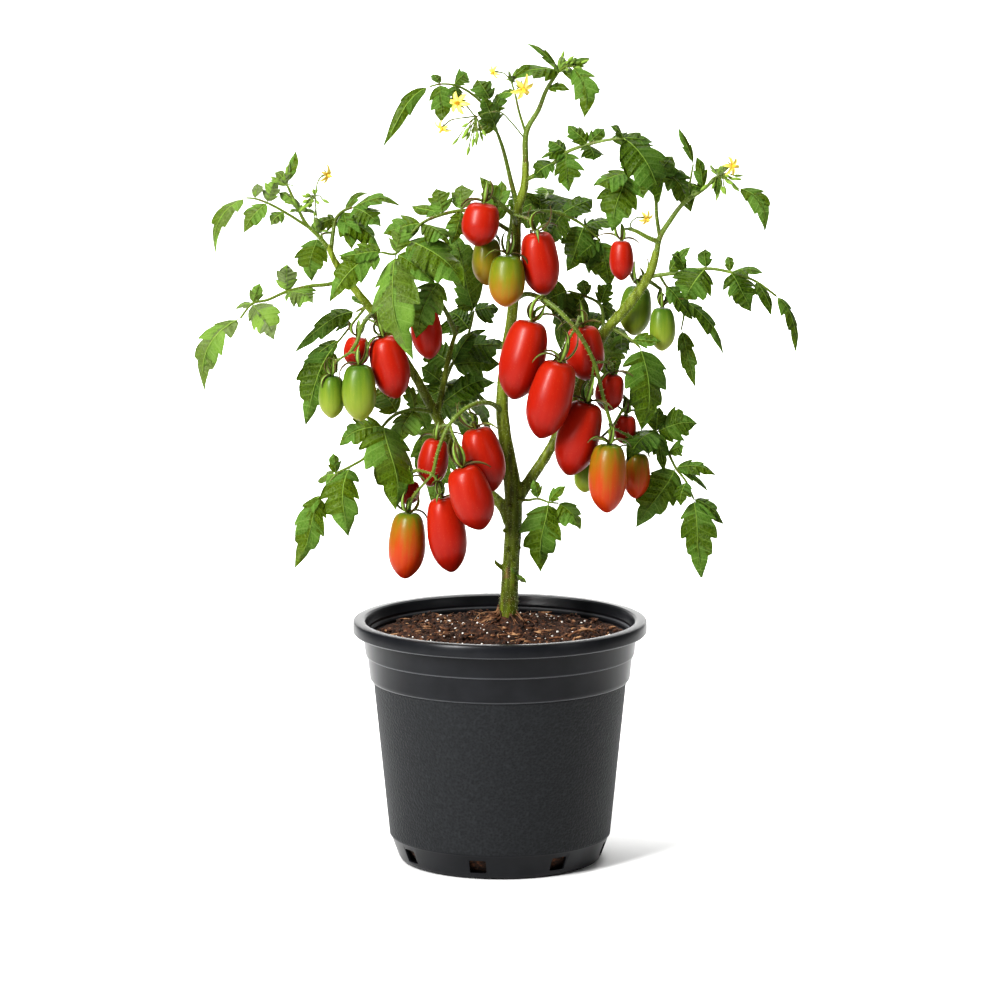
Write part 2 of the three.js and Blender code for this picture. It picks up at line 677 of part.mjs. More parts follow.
// A flat star of narrow points, bent so that each point lies at lift(distance from the middle).
function star(points, radius, waist, thickness, lift) {
  const outline = new THREE.Shape();
  for (let i = 0; i < 2 * points; i++) {
    const reach = i % 2 ? waist : radius;
    const angle = (Math.PI * i) / points;
    const [x, y] = [reach * Math.cos(angle), reach * Math.sin(angle)];
    if (i) outline.lineTo(x, y);
    else outline.moveTo(x, y);
  }
  const geometry = new THREE.ExtrudeGeometry(outline, { depth: thickness, bevelEnabled: false });
  const place = geometry.getAttribute("position");
  for (let i = 0; i < place.count; i++) {
    place.setZ(i, place.getZ(i) + lift(Math.hypot(place.getX(i), place.getY(i))));
  }
  return geometry;
}

// The stalk of one fruit and the star of sepals that rises round it, over the fruit's shoulder.
function pedicel(from, { top, tip, width }) {
  const axis = vec(tip).sub(vec(top)).normalize();
  const depth = FRUIT_PROFILE[0][1] * vec(top).distanceTo(vec(tip));
  const seat = vec(top).addScaledVector(axis, depth - GAP - SEAT_RISE);
  const neck = vec(top).addScaledVector(axis, -9);
  neck.lerp(vec(from), 0.15);
  const rod = stem([from, neck.toArray(), seat.toArray()], [1.4, 1.5, 1.2], 4);
  const reach = SEPAL_REACH * width;
  const waist = 2.6;
  const rise = (r) => 1.2 + SEPAL_RISE * Math.max(0, r - waist);
  const sepals = star(SEPALS, reach, waist, SEPAL_THICKNESS, rise);
  return rod.add(solid(hang(sepals, top, tip)));
}

function truss({ peduncle, fruits, stalks = [] }) {
  const rod = stem(peduncle, [2.4, 1.8], 5);
  const hung = fruits.map((f) => pedicel(peduncle[f.from], f));
  return join([rod, ...hung, ...stalks.map(stalk)]);
}

const PETALS = 5;
const PETAL_DROP = 0.3;

// Five narrow petals bent back from a cone of anthers.
function flower({ at, facing, radius }) {
  const waist = 0.3 * radius;
  const petals = star(PETALS, radius, waist, PETAL_THICKNESS, (r) => -PETAL_DROP * Math.max(0, r - waist));
  const cone = new THREE.CylinderGeometry(0.5, 0.2 * radius, 0.6 * radius, 4).rotateX(Math.PI / 2);
  cone.translate(0, 0, 0.4 + 0.3 * radius);
  const way = vec(facing).normalize();
  const turn = new THREE.Quaternion().setFromUnitVectors(new THREE.Vector3(0, 0, 1), way);
  const centre = vec(at).addScaledVector(way, GAP + 0.55);
  const placed = [petals, cone].map((g) => solid(g.applyQuaternion(turn).translate(...centre.toArray())));
  return largest(join(placed));
}

// The pot: a turned wall with a rolled lip, two stepped collars and a foot with drainage holes.
function pot() {
  const under = POT_HEIGHT - LIP_HEIGHT;
  const outer = [
    [0, 0], [BASE_RADIUS, 0], [BASE_RADIUS + 4.5, 1.5], [BASE_RADIUS + 6.5, 5], [104.2, FOOT_HEIGHT - 1],
    [105.6, FOOT_HEIGHT + 0.5], [120.6, 173.5], [124, 177.5], [126.4, 198], [128.4, 200.5],
    [RIM_RADIUS - LIP_WIDTH, under],
  ];
  const lip = [
    [RIM_RADIUS - 1.2, under], [RIM_RADIUS, under + 1.5], [RIM_RADIUS, POT_HEIGHT - 2.5],
    [RIM_RADIUS - 2.2, POT_HEIGHT],
    [RIM_RADIUS - LIP_WIDTH, POT_HEIGHT], [RIM_RADIUS - LIP_WIDTH - WALL, POT_HEIGHT - 4],
  ];
  const inner = [
    [120.6 - WALL, 173.5], [105.6 - WALL, FOOT_HEIGHT + 0.5], [BASE_RADIUS + 3.5, FLOOR], [0, FLOOR],
  ];
  const profile = [...outer, ...lip, ...inner].map(([r, z]) => new THREE.Vector2(r, z));
  const turned = new THREE.LatheGeometry(profile, POT_SEGMENTS).rotateX(Math.PI / 2);
  let made = solid(turned);
  for (let i = 0; i < DRAIN_HOLES; i++) {
    const hole = new THREE.BoxGeometry(...DRAIN_SIZE);
    hole.translate(0, -BASE_RADIUS - 7, DRAIN_LIFT);
    hole.rotateZ(THREE.MathUtils.degToRad(DRAIN_TURN + (360 * i) / DRAIN_HOLES));
    made = made.subtract(solid(hole));
  }
  return made;
}

// The soil: fills the pot to a rough mound, with a plain hole for the stem.
function soil() {
  const wallAt = (z) => {
    const share = (z - FOOT_HEIGHT - 0.5) / (173.5 - FOOT_HEIGHT - 0.5);
    return THREE.MathUtils.lerp(105.6, 120.6, Math.min(share, 1)) - WALL - 1.2;
  };
  const bottom = DRAIN_LIFT + DRAIN_SIZE[2] / 2 + 1;
  const edge = wallAt(173) + 3.6;
  const profile = [new THREE.Vector2(0, FLOOR + GAP), new THREE.Vector2(BASE_RADIUS - 2, FLOOR + GAP)];
  profile.push(new THREE.Vector2(wallAt(bottom) - 6, bottom), new THREE.Vector2(wallAt(173), 173));
  for (const share of [...SOIL_RINGS].reverse()) {
    profile.push(new THREE.Vector2(edge * share, SOIL_EDGE + SOIL_MOUND * (1 - share)));
  }
  profile.push(new THREE.Vector2(0, SOIL_EDGE + SOIL_MOUND));
  const turned = new THREE.LatheGeometry(profile, SOIL_SEGMENTS).rotateX(Math.PI / 2);
  const place = turned.getAttribute("position");
  for (let i = 0; i < place.count; i++) {
    const [x, y, z] = [place.getX(i), place.getY(i), place.getZ(i)];
    if (z < SOIL_EDGE - 1 || Math.hypot(x, y) < 30) continue;
    const rough = chance(Math.round(x) + 3 * Math.round(y)) - 0.5;
    place.setZ(i, z + 2 * SOIL_ROUGHNESS * rough);
  }
  const [stemX, stemY] = TRUNK_FOOT;
  const hole = new THREE.CylinderGeometry(10.2, 10.2, 60, 16).rotateX(Math.PI / 2);
  hole.translate(stemX, stemY, SOIL_EDGE + SOIL_MOUND - STEM_DEPTH - GAP + 30);
  return solid(turned).subtract(solid(hole));
}

const plant = new THREE.Group();
const fatStems = stemSystem(GAP);

// What grows on a stem starts inside it and is cut back to a fine gap round it.
function grown(name, shape, colour) {
  const cut = largest(shape.subtract(fatStems)).simplify(SLIVER);
  return mesh(name, cut, colour, 0.6);
}

plant.add(mesh("pot", pot(), BLACK_POT, 0.6));
plant.add(mesh("soil", soil(), BROWN_SOIL, 0.95));
plant.add(mesh("main_stem", stemSystem().simplify(SLIVER), GREEN_STEM, 0.6));
for (const t of TRUSSES) {
  if (!t.on) plant.add(grown(t.name, truss(t), GREEN_STEM));
  t.fruits.forEach((f, i) => {
    const name = "fruit_" + t.name.replace("truss_", "") + "_" + (i + 1);
    plant.add(mesh(name, fruit(f), RIPENESS[f.ripe], 0.25));
  });
}
for (const l of LEAVES) {
  plant.add(grown(l.name, leaf(l), GREEN_LEAF));
}
for (const f of FLOWERS) {
  plant.add(mesh(f.name, flower(f), YELLOW, 0.5));
}

export default plant;
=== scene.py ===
import math

import bmesh
import bpy
import numpy as np
from mathutils import Matrix, Vector, noise


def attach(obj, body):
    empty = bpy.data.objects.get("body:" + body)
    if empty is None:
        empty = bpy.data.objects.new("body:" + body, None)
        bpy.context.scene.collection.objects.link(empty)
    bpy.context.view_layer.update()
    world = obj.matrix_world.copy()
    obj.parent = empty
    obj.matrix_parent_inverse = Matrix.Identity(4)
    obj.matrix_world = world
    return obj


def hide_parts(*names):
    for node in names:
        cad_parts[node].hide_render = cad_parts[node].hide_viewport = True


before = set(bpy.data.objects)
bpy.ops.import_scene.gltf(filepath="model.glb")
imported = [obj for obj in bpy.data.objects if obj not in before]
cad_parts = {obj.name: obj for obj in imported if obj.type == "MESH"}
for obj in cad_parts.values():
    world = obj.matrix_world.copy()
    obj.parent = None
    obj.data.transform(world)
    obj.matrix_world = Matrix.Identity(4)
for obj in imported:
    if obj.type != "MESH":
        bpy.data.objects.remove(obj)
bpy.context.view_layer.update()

bl_info = {
    "name": "Potted Plum Tomato Plant",
    "version": (1, 0, 0),
    "blender": (4, 5, 0),
    "location": "3D View > Sidebar > Tomato Plant",
    "description": "Grows a bush plum tomato plant in a round nursery pot",
    "category": "Object",
}

# The tables and sizes below are in millimetres, a mesh is in metres.
MM = 0.001
# The ways that the upper side of a leaflet faces
FRONT = (0, -0.75, 0.65)
BACK = (0, 0.6, 0.8)
# The finishes of a leafy piece, in the order of its materials
UPPER, UNDER, STALK, SEPAL = range(4)
# Parts of a leaflet's length: its bare stalk, the rise of its arch, the sag of its tip and its swerve
LEAF_STALK, BLADE_ARCH, BLADE_SAG, BLADE_SWERVE = 0.05, 0.1, 0.09, 0.09
# Parts of a leaflet's half width: the fold along its midrib, the waves of its edge and its teeth
BLADE_FOLD, BLADE_WAVE, BLADE_TEETH = 0.28, 0.13, 0.035
# The place to the right of the pot's middle where the stem leaves the soil
STEM_X = 7
# Top and foot of the grained panel of the pot's wall, and the steps above it whose edges carry a painted
# highlight
PANEL_TOP, PANEL_FOOT = 173.5, 24.5
HIGHLIT_STEPS = (174.4, 198.7, 219.8)
# Where the photo was taken from: place in metres, tilt below the horizon in degrees, and lens
CAMERA_PLACE, CAMERA_TILT, CAMERA_LENS, SENSOR_WIDTH = (0, -4.5, 1.074), 9.184, 173, 36

# The trunk and its main branches: the points of each centre line, and its radii from root to end
STEMS = [
    ([(7, 0, 203), (7, 0, 224), (9, 0, 260), (11, 0, 294), (13, 0, 332), (11, 1, 365), (5, 2, 404), (2, 4, 437),
      (6, 6, 484), (12, 6, 527), (15, 8, 584), (16, 8, 618), (23, 6, 645), (24, 5, 668)],
     (9.6, 9.2, 8.4, 8, 8.2, 8, 6.6, 6, 5.6, 5.2, 4.8, 4.6, 4, 3.4)),
    ([(12, 0, 340), (30, 2, 368), (46, 6, 392), (66, 12, 431), (85, 12, 474), (99, 8, 505), (123, 0, 535),
      (141, -5, 563), (147, -7, 585)],
     (6, 5.4, 5, 4.8, 4.8, 4.8, 4.8, 4.4, 3.6)),
    ([(9, 0, 325), (3, 4, 339), (-14, 12, 355), (-38, 18, 379), (-58, 18, 419), (-81, 14, 464), (-104, 6, 501),
      (-120, 2, 526), (-140, -2, 552), (-155, -4, 574), (-162, -5, 590)],
     (6, 5.6, 5, 4.8, 4.8, 4.4, 4.2, 4.2, 3.8, 3.2, 2.8)),
    ([(-60, 18, 422), (-54, 24, 453), (-47, 28, 486), (-40, 30, 509)], (3.4, 2.8, 2.5, 2)),
    ([(9, 0, 305), (17, -7, 312), (19, -9, 317)], (2.4, 2, 1.2)),
    ([(7, 0, 278), (-3, -5, 286), (-5, -6, 290)], (2.6, 2, 1)),
]

# Fruit trusses: the peduncle's centre line, then each fruit: the peduncle point that carries it, the
# middle of its shoulder, its tip, its width and how ripe it is. A truss "on" a shoot is part of it.
TRUSSES = [
    {"name": "truss_top",
     "peduncle": [(15, 6, 609), (11, -14, 620), (-1, -27, 632), (-10, -34, 641)],
     "fruits": [(3, (-15, -36, 633), (-21, -36, 592), 36, "red"),
                (2, (-12, -8, 597), (-12, -8, 552), 29, "olive"),
                (1, (7, -36, 584), (5, -36, 535), 34, "turning"),
                (1, (34, -20, 604), (42, -20, 544), 36, "red")]},
    {"name": "truss_upper_right",
     "on": "shoot_right_tip",
     "peduncle": [(149, -8, 593), (138, -12, 598), (127, -12, 604), (120, -11, 606)],
     "fruits": [(3, (114, -10, 595), (114, -10, 557), 23, "red")],
     "stalks": [[(127, -12, 603), (122, -15, 610), (128, -18, 617), (136, -21, 617)]]},
    {"name": "truss_right",
     "peduncle": [(135, -2, 553), (142, 10, 553), (152, 14, 546)],
     "fruits": [(1, (131, 28, 548), (127, 28, 500), 31, "green"),
                (2, (153, 6, 530), (153, 6, 488), 26, "green")]},
    {"name": "truss_centre",
     "peduncle": [(12, 6, 535), (26, -16, 545), (47, -36, 538), (70, -45, 516), (88, -44, 484), (97, -40, 449),
                  (105, -40, 422)],
     "fruits": [(2, (30, -38, 523), (12, -38, 448), 42, "red"), (3, (56, -64, 488), (37, -64, 415), 42, "red"),
                (4, (82, -38, 446), (64, -38, 376), 41, "red"),
                (6, (102, -61, 410), (100, -60, 344), 36, "orange"),
                (6, (130, -14, 394), (128, -14, 350), 25, "orange"),
                (6, (82, -8, 384), (80, -8, 355), 22, "green"), (3, (77, -18, 515), (83, -18, 463), 37, "red"),
                (4, (106, -14, 469), (101, -12, 433), 27, "red"),
                (6, (119, -8, 429), (117, -6, 401), 22, "red")]},
    {"name": "truss_lower",
     "peduncle": [(3, 4, 430), (-11, -16, 442), (-30, -32, 440), (-47, -40, 425), (-57, -42, 403),
                  (-63, -40, 378)],
     "fruits": [(2, (-23, -34, 421), (-7, -34, 360), 39, "red"),
                (3, (-35, -66, 389), (-17, -66, 329), 39, "red"),
                (5, (-55, -40, 356), (-45, -40, 284), 37, "red"),
                (5, (-86, -30, 340), (-90, -30, 276), 35, "orange"),
                (3, (-60, -4, 406), (-67, -4, 360), 29, "red"),
                (5, (-86, -6, 366), (-88, -6, 343), 24, "red")]},
    {"name": "truss_left",
     "peduncle": [(-120, 0, 524), (-125, -16, 522), (-130, -28, 514), (-134, -34, 502), (-140, -32, 492)],
     "fruits": [(1, (-110, -24, 506), (-97, -24, 447), 36, "red"),
                (4, (-132, -40, 482), (-131, -40, 428), 33, "green"),
                (4, (-158, -24, 469), (-158, -24, 428), 25, "green"),
                (2, (-134, -12, 504), (-136, -12, 475), 25, "red")]},
    {"name": "truss_back_left",
     "peduncle": [(-42, 28, 501), (-51, 16, 524), (-60, 4, 539), (-66, -3, 544)],
     "fruits": [(3, (-72, -6, 533), (-66, -6, 482), 29, "red")]},
]

# Leaves and leafy shoots. A tint runs from 0 for deep green to 1 for pale: young leaves are paler, the leaves
# at the left are paler and greyer as a painted sheen, and the leaves at the right are darker as painted shade.
# A frond has a rachis, its radius at the root and its leaflets, each with the number of the rachis point that
# it grows from, its tip, its width and how far it bows to its side. A bud has a start and a tip. Tufts of
# young leaves and bunches of buds have a place, a main way, a count and a reach.
LEAVES = [
    {"name": "shoot_apex",
     "tint": 0.25,
     "fronds": [{"rachis": [(24, 5, 664), (25, 4, 696), (36, 2, 716), (44, 0, 736), (55, -2, 753)],
                 "radius": 3.2,
                 "leaflets": [(4, (26, -10, 781), 7), (4, (97, 6, 736), 8), (4, (16, -10, 751), 19),
                              (3, (65, -6, 736), 7)]},
                {"rachis": [(55, -2, 753), (62, -8, 758), (67, -14, 758)],
                 "leaflets": [(2, (77, -28, 711), 17, -7), (1, (84, -2, 766), 8)]},
                {"rachis": [(25, 4, 692), (18, 0, 714), (14, -4, 732), (10, -4, 745)],
                 "leaflets": [(3, (28, -6, 760), 8), (2, (-3, 12, 729), 9)]}],
     "stalks": [[(14, -3, 730), (17, -12, 738), (21, -18, 738)],
                [(10, -4, 744), (4, -6, 751), (-5, -10, 753)],
                [(24, 5, 688), (11, -8, 705), (0, -20, 716), (-13, -28, 716), (-22, -30, 713), (-32, -37, 724),
                 (-38, -39, 726)],
                [(-22, -30, 713), (-34, -36, 712), (-46, -40, 710), (-53, -42, 704)]],
     "buds": [((-22, -30, 713), (-45, -38, 686)), ((-22, -30, 713), (-31, -38, 676)),
              ((-22, -30, 713), (-16, -26, 689)), ((55, -2, 753), (84, -8, 764)),
              ((55, -2, 753), (60, -8, 773)), ((55, -2, 753), (69, -14, 768))],
     "tufts": [((56, -3, 752), (0.1, -0.3, 1), 10, 20), ((12, -4, 742), (-0.2, -0.4, 0.9), 5, 14),
               ((-6, 0, 702), (0.4, -0.4, 0.4), 5, 16)],
     "bunches": [((60, -6, 757), (0.7, -0.5, 0.2), 9, 18), ((-22, -30, 713), (-0.1, -0.3, -0.9), 13, 30)]},
    {"name": "shoot_top_left",
     "tint": 0.15,
     "fronds": [{"rachis": [(16, 8, 626), (10, 6, 650), (3, 3, 679), (-4, 0, 699)],
                 "radius": 2.8,
                 "leaflets": [(3, (-21, 8, 706), 16), (3, (-15, -20, 729), 14)]},
                {"rachis": [(-4, 0, 699), (-13, -8, 719), (-30, -14, 735), (-43, -18, 741), (-56, -20, 742),
                            (-65, -22, 740)],
                 "leaflets": [(5, (-109, -40, 685), 10, 9), (4, (-55, -34, 708), 19), (3, (-31, -20, 754), 16),
                              (3, (-38, -30, 724), 15), (4, (-62, -16, 752), 9)]},
                {"rachis": [(-4, 0, 697), (-6, 10, 714), (-9, 18, 724)],
                 "leaflets": [(2, (-21, 26, 744), 17), (1, (7, 14, 732), 14)]}]},
    {"name": "leaf_upper_right",
     "fronds": [{"rachis": [(24, 6, 650), (38, -2, 658), (51, -10, 668), (62, -16, 678), (82, -24, 686),
                            (101, -30, 691), (115, -36, 693)],
                 "radius": 2.4,
                 "leaflets": [(2, (31, -16, 654), 16), (3, (38, -14, 674), 13), (3, (63, -34, 644), 21),
                              (3, (46, -12, 690), 14), (4, (97, -20, 702), 11), (4, (87, -34, 673), 17),
                              (4, (64, -18, 704), 14), (6, (149, -58, 638), 30, -4), (6, (103, -38, 705), 9),
                              (5, (145, -26, 691), 15)]}]},
    {"name": "shoot_right_tip",
     "tint": 0.15,
     "fronds": [{"rachis": [(147, -7, 582), (150, -8, 597), (160, -10, 614), (172, -12, 630), (190, -14, 643),
                            (204, -16, 656)],
                 "radius": 3,
                 "leaflets": [(5, (202, -26, 638), 7), (4, (177, -22, 649), 7), (4, (184, -16, 674), 10)]},
                {"rachis": [(204, -16, 656), (214, -18, 652), (222, -20, 645)],
                 "leaflets": [(2, (247, -30, 605), 13, -10)]},
                {"rachis": [(174, -12, 632), (178, -8, 649), (181, -6, 666)],
                 "leaflets": [(2, (169, -8, 701), 7)]},
                {"rachis": [(150, -8, 597), (147, -6, 618), (146, -6, 633), (141, -8, 648), (131, -14, 656),
                            (120, -18, 658)],
                 "radius": 2,
                 "leaflets": [(5, (87, -30, 650), 19), (5, (104, -30, 606), 26), (4, (133, -26, 636), 15),
                              (4, (114, -4, 672), 12), (3, (162, 6, 674), 17)]},
                {"rachis": [(146, -6, 633), (153, 2, 650), (158, 4, 658)],
                 "leaflets": [(2, (180, -4, 622), 19), (2, (178, 14, 653), 17)]}],
     "stalks": [[(202, -16, 655), (209, -20, 664), (216, -24, 666)]],
     "buds": [((204, -16, 656), (187, -24, 643)), ((204, -16, 656), (197, -28, 644)),
              ((204, -16, 656), (209, -30, 640)), ((204, -16, 656), (217, -28, 650))],
     "tufts": [((204, -16, 656), (0.2, -0.3, 0.8), 9, 18), ((178, -11, 636), (-0.1, -0.3, 0.8), 4, 15)],
     "bunches": [((206, -17, 657), (0.4, -0.4, -0.3), 14, 22)]},
    {"name": "leaf_right_long",
     "fronds": [{"rachis": [(140, -4, 560), (158, -8, 563), (175, -12, 565), (193, -16, 569), (216, -20, 566),
                            (239, -22, 558), (259, -24, 544)],
                 "radius": 2.2,
                 "leaflets": [(3, (172, -30, 542), 28), (3, (193, -10, 587), 10), (1, (178, -12, 590), 12),
                              (2, (161, -16, 583), 10), (4, (213, -14, 581), 7), (4, (236, -38, 533), 22),
                              (4, (248, -26, 567), 11), (5, (255, -34, 529), 11),
                              (6, (281, -30, 494), 13, -7)]},
                {"rachis": [(150, -6, 562), (157, 4, 550), (165, 8, 543), (174, 8, 536)],
                 "leaflets": [(3, (215, 6, 484), 14), (1, (183, 2, 520), 15)]},
                {"rachis": [(165, 8, 543), (174, 20, 525), (172, 26, 506)],
                 "leaflets": [(2, (187, 24, 450), 12)]}]},
    {"name": "leaf_right_mid",
     "tint": 0.2,
     "fronds": [{"rachis": [(106, 6, 510), (115, 2, 505), (124, -4, 500), (132, -6, 493)],
                 "radius": 2,
                 "leaflets": [(3, (137, -20, 416), 32, -3), (2, (151, -12, 500), 10),
                              (1, (117, 16, 486), 11)]}]},
    {"name": "leaf_right_low",
     "fronds": [{"rachis": [(87, 12, 467), (112, 20, 447), (133, 14, 429), (148, 4, 411), (159, -4, 393),
                            (166, -8, 379), (176, -12, 366), (183, -14, 350)],
                 "radius": 2,
                 "leaflets": [(3, (120, -52, 396), 25), (3, (152, 2, 434), 16), (3, (186, -2, 420), 21),
                              (4, (174, -8, 400), 16), (3, (155, -16, 377), 12), (5, (204, -10, 374), 13),
                              (5, (129, -22, 324), 26, -6), (5, (202, -2, 353), 8), (6, (170, -26, 345), 13),
                              (7, (188, -26, 276), 25, -4), (7, (214, -12, 327), 14)]}]},
    {"name": "shoot_left_tip",
     "tint": 0.42,
     "fronds": [{"rachis": [(-162, -5, 588), (-171, -6, 599), (-182, -7, 610), (-191, -8, 628),
                            (-200, -9, 648)],
                 "radius": 2.4,
                 "leaflets": [(4, (-192, -10, 679), 7), (4, (-212, 0, 658), 9), (3, (-207, -8, 640), 9)]},
                {"rachis": [(-180, -7, 607), (-202, -14, 622), (-218, -18, 631), (-229, -20, 635),
                            (-237, -22, 636)],
                 "leaflets": [(1, (-214, -22, 610), 10), (2, (-240, -30, 604), 13), (3, (-227, -12, 649), 9),
                              (4, (-268, -40, 588), 15, 10), (2, (-209, -10, 652), 12)]}],
     "stalks": [[(-166, -6, 595), (-171, -9, 613), (-173, -10, 637), (-169, -12, 653), (-163, -14, 657)]],
     "buds": [((-173, -10, 637), (-184, -12, 625)), ((-172, -10, 625), (-174, -18, 618)),
              ((-173, -10, 637), (-159, -14, 630))],
     "tufts": [((-200, -9, 646), (-0.1, -0.2, 0.9), 6, 22), ((-188, -8, 622), (0.1, -0.3, 0.8), 8, 16),
               ((-170, -6, 602), (0.3, -0.4, 0.8), 4, 16)],
     "bunches": [((-173, -10, 634), (-0.1, -0.4, 0.1), 10, 20)]},
    {"name": "leaf_left_upper",
     "tint": 0.2,
     "fronds": [{"rachis": [(-159, -4, 582), (-157, 2, 601), (-154, 6, 614), (-147, 8, 621), (-139, 8, 624)],
                 "radius": 2.4,
                 "leaflets": [(4, (-95, 2, 630), 13), (4, (-111, -10, 609), 21), (3, (-141, -6, 586), 19),
                              (2, (-111, -4, 588), 22), (2, (-181, 14, 604), 14), (3, (-124, 18, 638), 8)]},
                {"rachis": [(-157, 2, 601), (-166, 12, 599), (-172, 14, 595)],
                 "leaflets": [(2, (-178, 10, 554), 20)]}]},
    {"name": "leaf_left_long",
     "tint": 0.46,
     "fronds": [{"rachis": [(-146, -2, 557), (-162, -8, 553), (-178, -12, 552), (-201, -18, 547),
                            (-218, -22, 540), (-232, -26, 537), (-243, -30, 524)],
                 "radius": 2.2,
                 "leaflets": [(3, (-175, -34, 540), 22), (3, (-199, -12, 573), 15), (5, (-212, -42, 505), 20),
                              (5, (-251, -20, 531), 9), (5, (-225, -22, 556), 9),
                              (6, (-278, -48, 457), 22, 11)]}]},
    {"name": "leaf_left_mid",
     "fronds": [{"rachis": [(-122, 4, 525), (-127, 14, 529), (-136, 20, 524)],
                 "radius": 2,
                 "leaflets": [(2, (-195, 14, 490), 16, 5), (1, (-140, 24, 540), 8)]},
                {"rachis": [(-127, 14, 529), (-140, 22, 512), (-152, 20, 497), (-158, 16, 490)],
                 "leaflets": [(3, (-184, 2, 418), 25, 5), (2, (-192, 16, 465), 14), (1, (-158, 34, 505), 9)]}]},
    {"name": "leaf_front_left",
     "tint": 0.34,
     "fronds": [{"rachis": [(15, 8, 598), (-2, -3, 610), (-19, -9, 621), (-36, -12, 623), (-54, -18, 620),
                            (-73, -32, 613), (-87, -46, 599), (-97, -54, 587), (-110, -60, 589)],
                 "radius": 2.2,
                 "leaflets": [(1, (-19, 8, 655), 13), (1, (-1, 14, 650), 15), (3, (-36, -2, 647), 17),
                              (4, (-60, -12, 644), 17), (4, (-84, -4, 628), 10), (5, (-46, -46, 597), 22),
                              (3, (-45, -16, 592), 14), (5, (-109, -40, 605), 18), (6, (-31, -66, 559), 35),
                              (7, (-59, -62, 560), 17), (7, (-83, -88, 494), 30, 5),
                              (8, (-158, -76, 545), 22, 5), (8, (-150, -70, 588), 12), (8, (-134, -58, 598), 9),
                              (7, (-94, -50, 614), 16)]},
                {"rachis": [(-73, -32, 613), (-65, -36, 586), (-56, -38, 560)],
                 "leaflets": [(2, (-79, -42, 506), 24, 3)]}]},
    {"name": "leaf_left_low",
     "tint": 0.32,
     "fronds": [{"rachis": [(-65, 14, 429), (-81, 8, 432), (-97, 2, 429), (-110, -8, 419), (-126, -16, 391),
                            (-141, -22, 382), (-155, -26, 375), (-168, -32, 356)],
                 "radius": 2,
                 "leaflets": [(1, (-94, -8, 403), 22), (2, (-116, 4, 454), 23), (1, (-91, 0, 457), 12),
                              (3, (-94, -42, 346), 39, 6), (3, (-152, -14, 402), 20),
                              (5, (-142, -40, 318), 26, 8), (6, (-156, -24, 395), 11),
                              (6, (-174, -16, 368), 11), (7, (-192, -46, 289), 21, 4),
                              (7, (-195, -34, 329), 11)]}]},
    {"name": "leaf_lower_small",
     "tint": 0.3,
     "fronds": [{"rachis": [(13, -2, 348), (26, -10, 348), (36, -14, 350), (46, -16, 347), (55, -16, 346)],
                 "radius": 1.6,
                 "leaflets": [(3, (39, -26, 282), 28, -1), (4, (77, -22, 323), 19), (2, (32, -18, 368), 9),
                              (3, (60, -22, 364), 11)]}],
     "tufts": [((15, -8, 276), (0.7, -0.4, -0.5), 4, 13)]},
    {"name": "leaf_back_upper",
     "facing": BACK,
     "fronds": [{"rachis": [(17, 8, 616), (38, 24, 619), (59, 36, 615), (80, 42, 603), (95, 44, 589)],
                 "radius": 2.2,
                 "facing": FRONT,
                 "leaflets": [(1, (39, 30, 636), 13), (2, (88, 50, 630), 17), (3, (84, 46, 602), 14),
                              (2, (47, 46, 585), 21), (3, (95, 46, 594), 17), (3, (63, 52, 558), 25),
                              (3, (110, 54, 607), 17), (4, (104, 46, 543), 20), (4, (84, 46, 556), 15),
                              (4, (72, 40, 573), 15)]},
                {"rachis": [(38, 24, 619), (43, 60, 626), (46, 100, 628), (48, 140, 622)],
                 "leaflets": [(1, (72, 84, 610), 28), (1, (11, 76, 603), 28), (2, (77, 132, 607), 30),
                              (2, (14, 120, 608), 28), (3, (55, 190, 578), 32), (3, (37, 168, 629), 15)]}]},
    {"name": "leaf_back_left",
     "facing": BACK,
     "fronds": [{"rachis": [(-56, 22, 435), (-53, 34, 452), (-46, 42, 470), (-36, 46, 486), (-29, 46, 503),
                            (-25, 44, 521)],
                 "radius": 2.2,
                 "facing": FRONT,
                 "leaflets": [(1, (-11, 48, 437), 30), (2, (-72, 52, 488), 22), (3, (6, 48, 490), 26),
                              (4, (-50, 52, 520), 30), (5, (-2, 44, 526), 22), (5, (-48, 40, 599), 25),
                              (2, (0, 40, 472), 18), (0, (-2, 44, 455), 20), (1, (-76, 44, 468), 16),
                              (5, (-40, 48, 543), 17), (2, (-16, 44, 505), 15)]},
                {"rachis": [(-53, 34, 452), (-48, 70, 444), (-50, 110, 427), (-59, 150, 401)],
                 "leaflets": [(1, (-6, 90, 404), 30), (1, (-81, 84, 427), 28), (2, (-23, 140, 383), 32),
                              (2, (-93, 128, 395), 30), (3, (-63, 180, 312), 34)]}]},
    {"name": "leaf_back_centre",
     "facing": BACK,
     "fronds": [{"rachis": [(95, 10, 493), (98, 24, 513), (95, 34, 529), (82, 40, 536), (65, 42, 541)],
                 "radius": 2.2,
                 "facing": FRONT,
                 "leaflets": [(1, (69, 46, 511), 19), (1, (126, 30, 488), 19), (2, (107, 44, 548), 13),
                              (2, (112, 42, 516), 14), (3, (79, 46, 552), 11), (4, (38, 46, 530), 26),
                              (4, (56, 50, 482), 18), (3, (54, 52, 506), 25)]},
                {"rachis": [(98, 24, 513), (96, 64, 501), (87, 104, 488), (73, 144, 471)],
                 "leaflets": [(1, (123, 84, 477), 30), (1, (67, 78, 486), 26), (2, (113, 132, 447), 32),
                              (2, (54, 124, 452), 30), (3, (59, 186, 396), 34), (3, (59, 176, 487), 17)]}]},
]

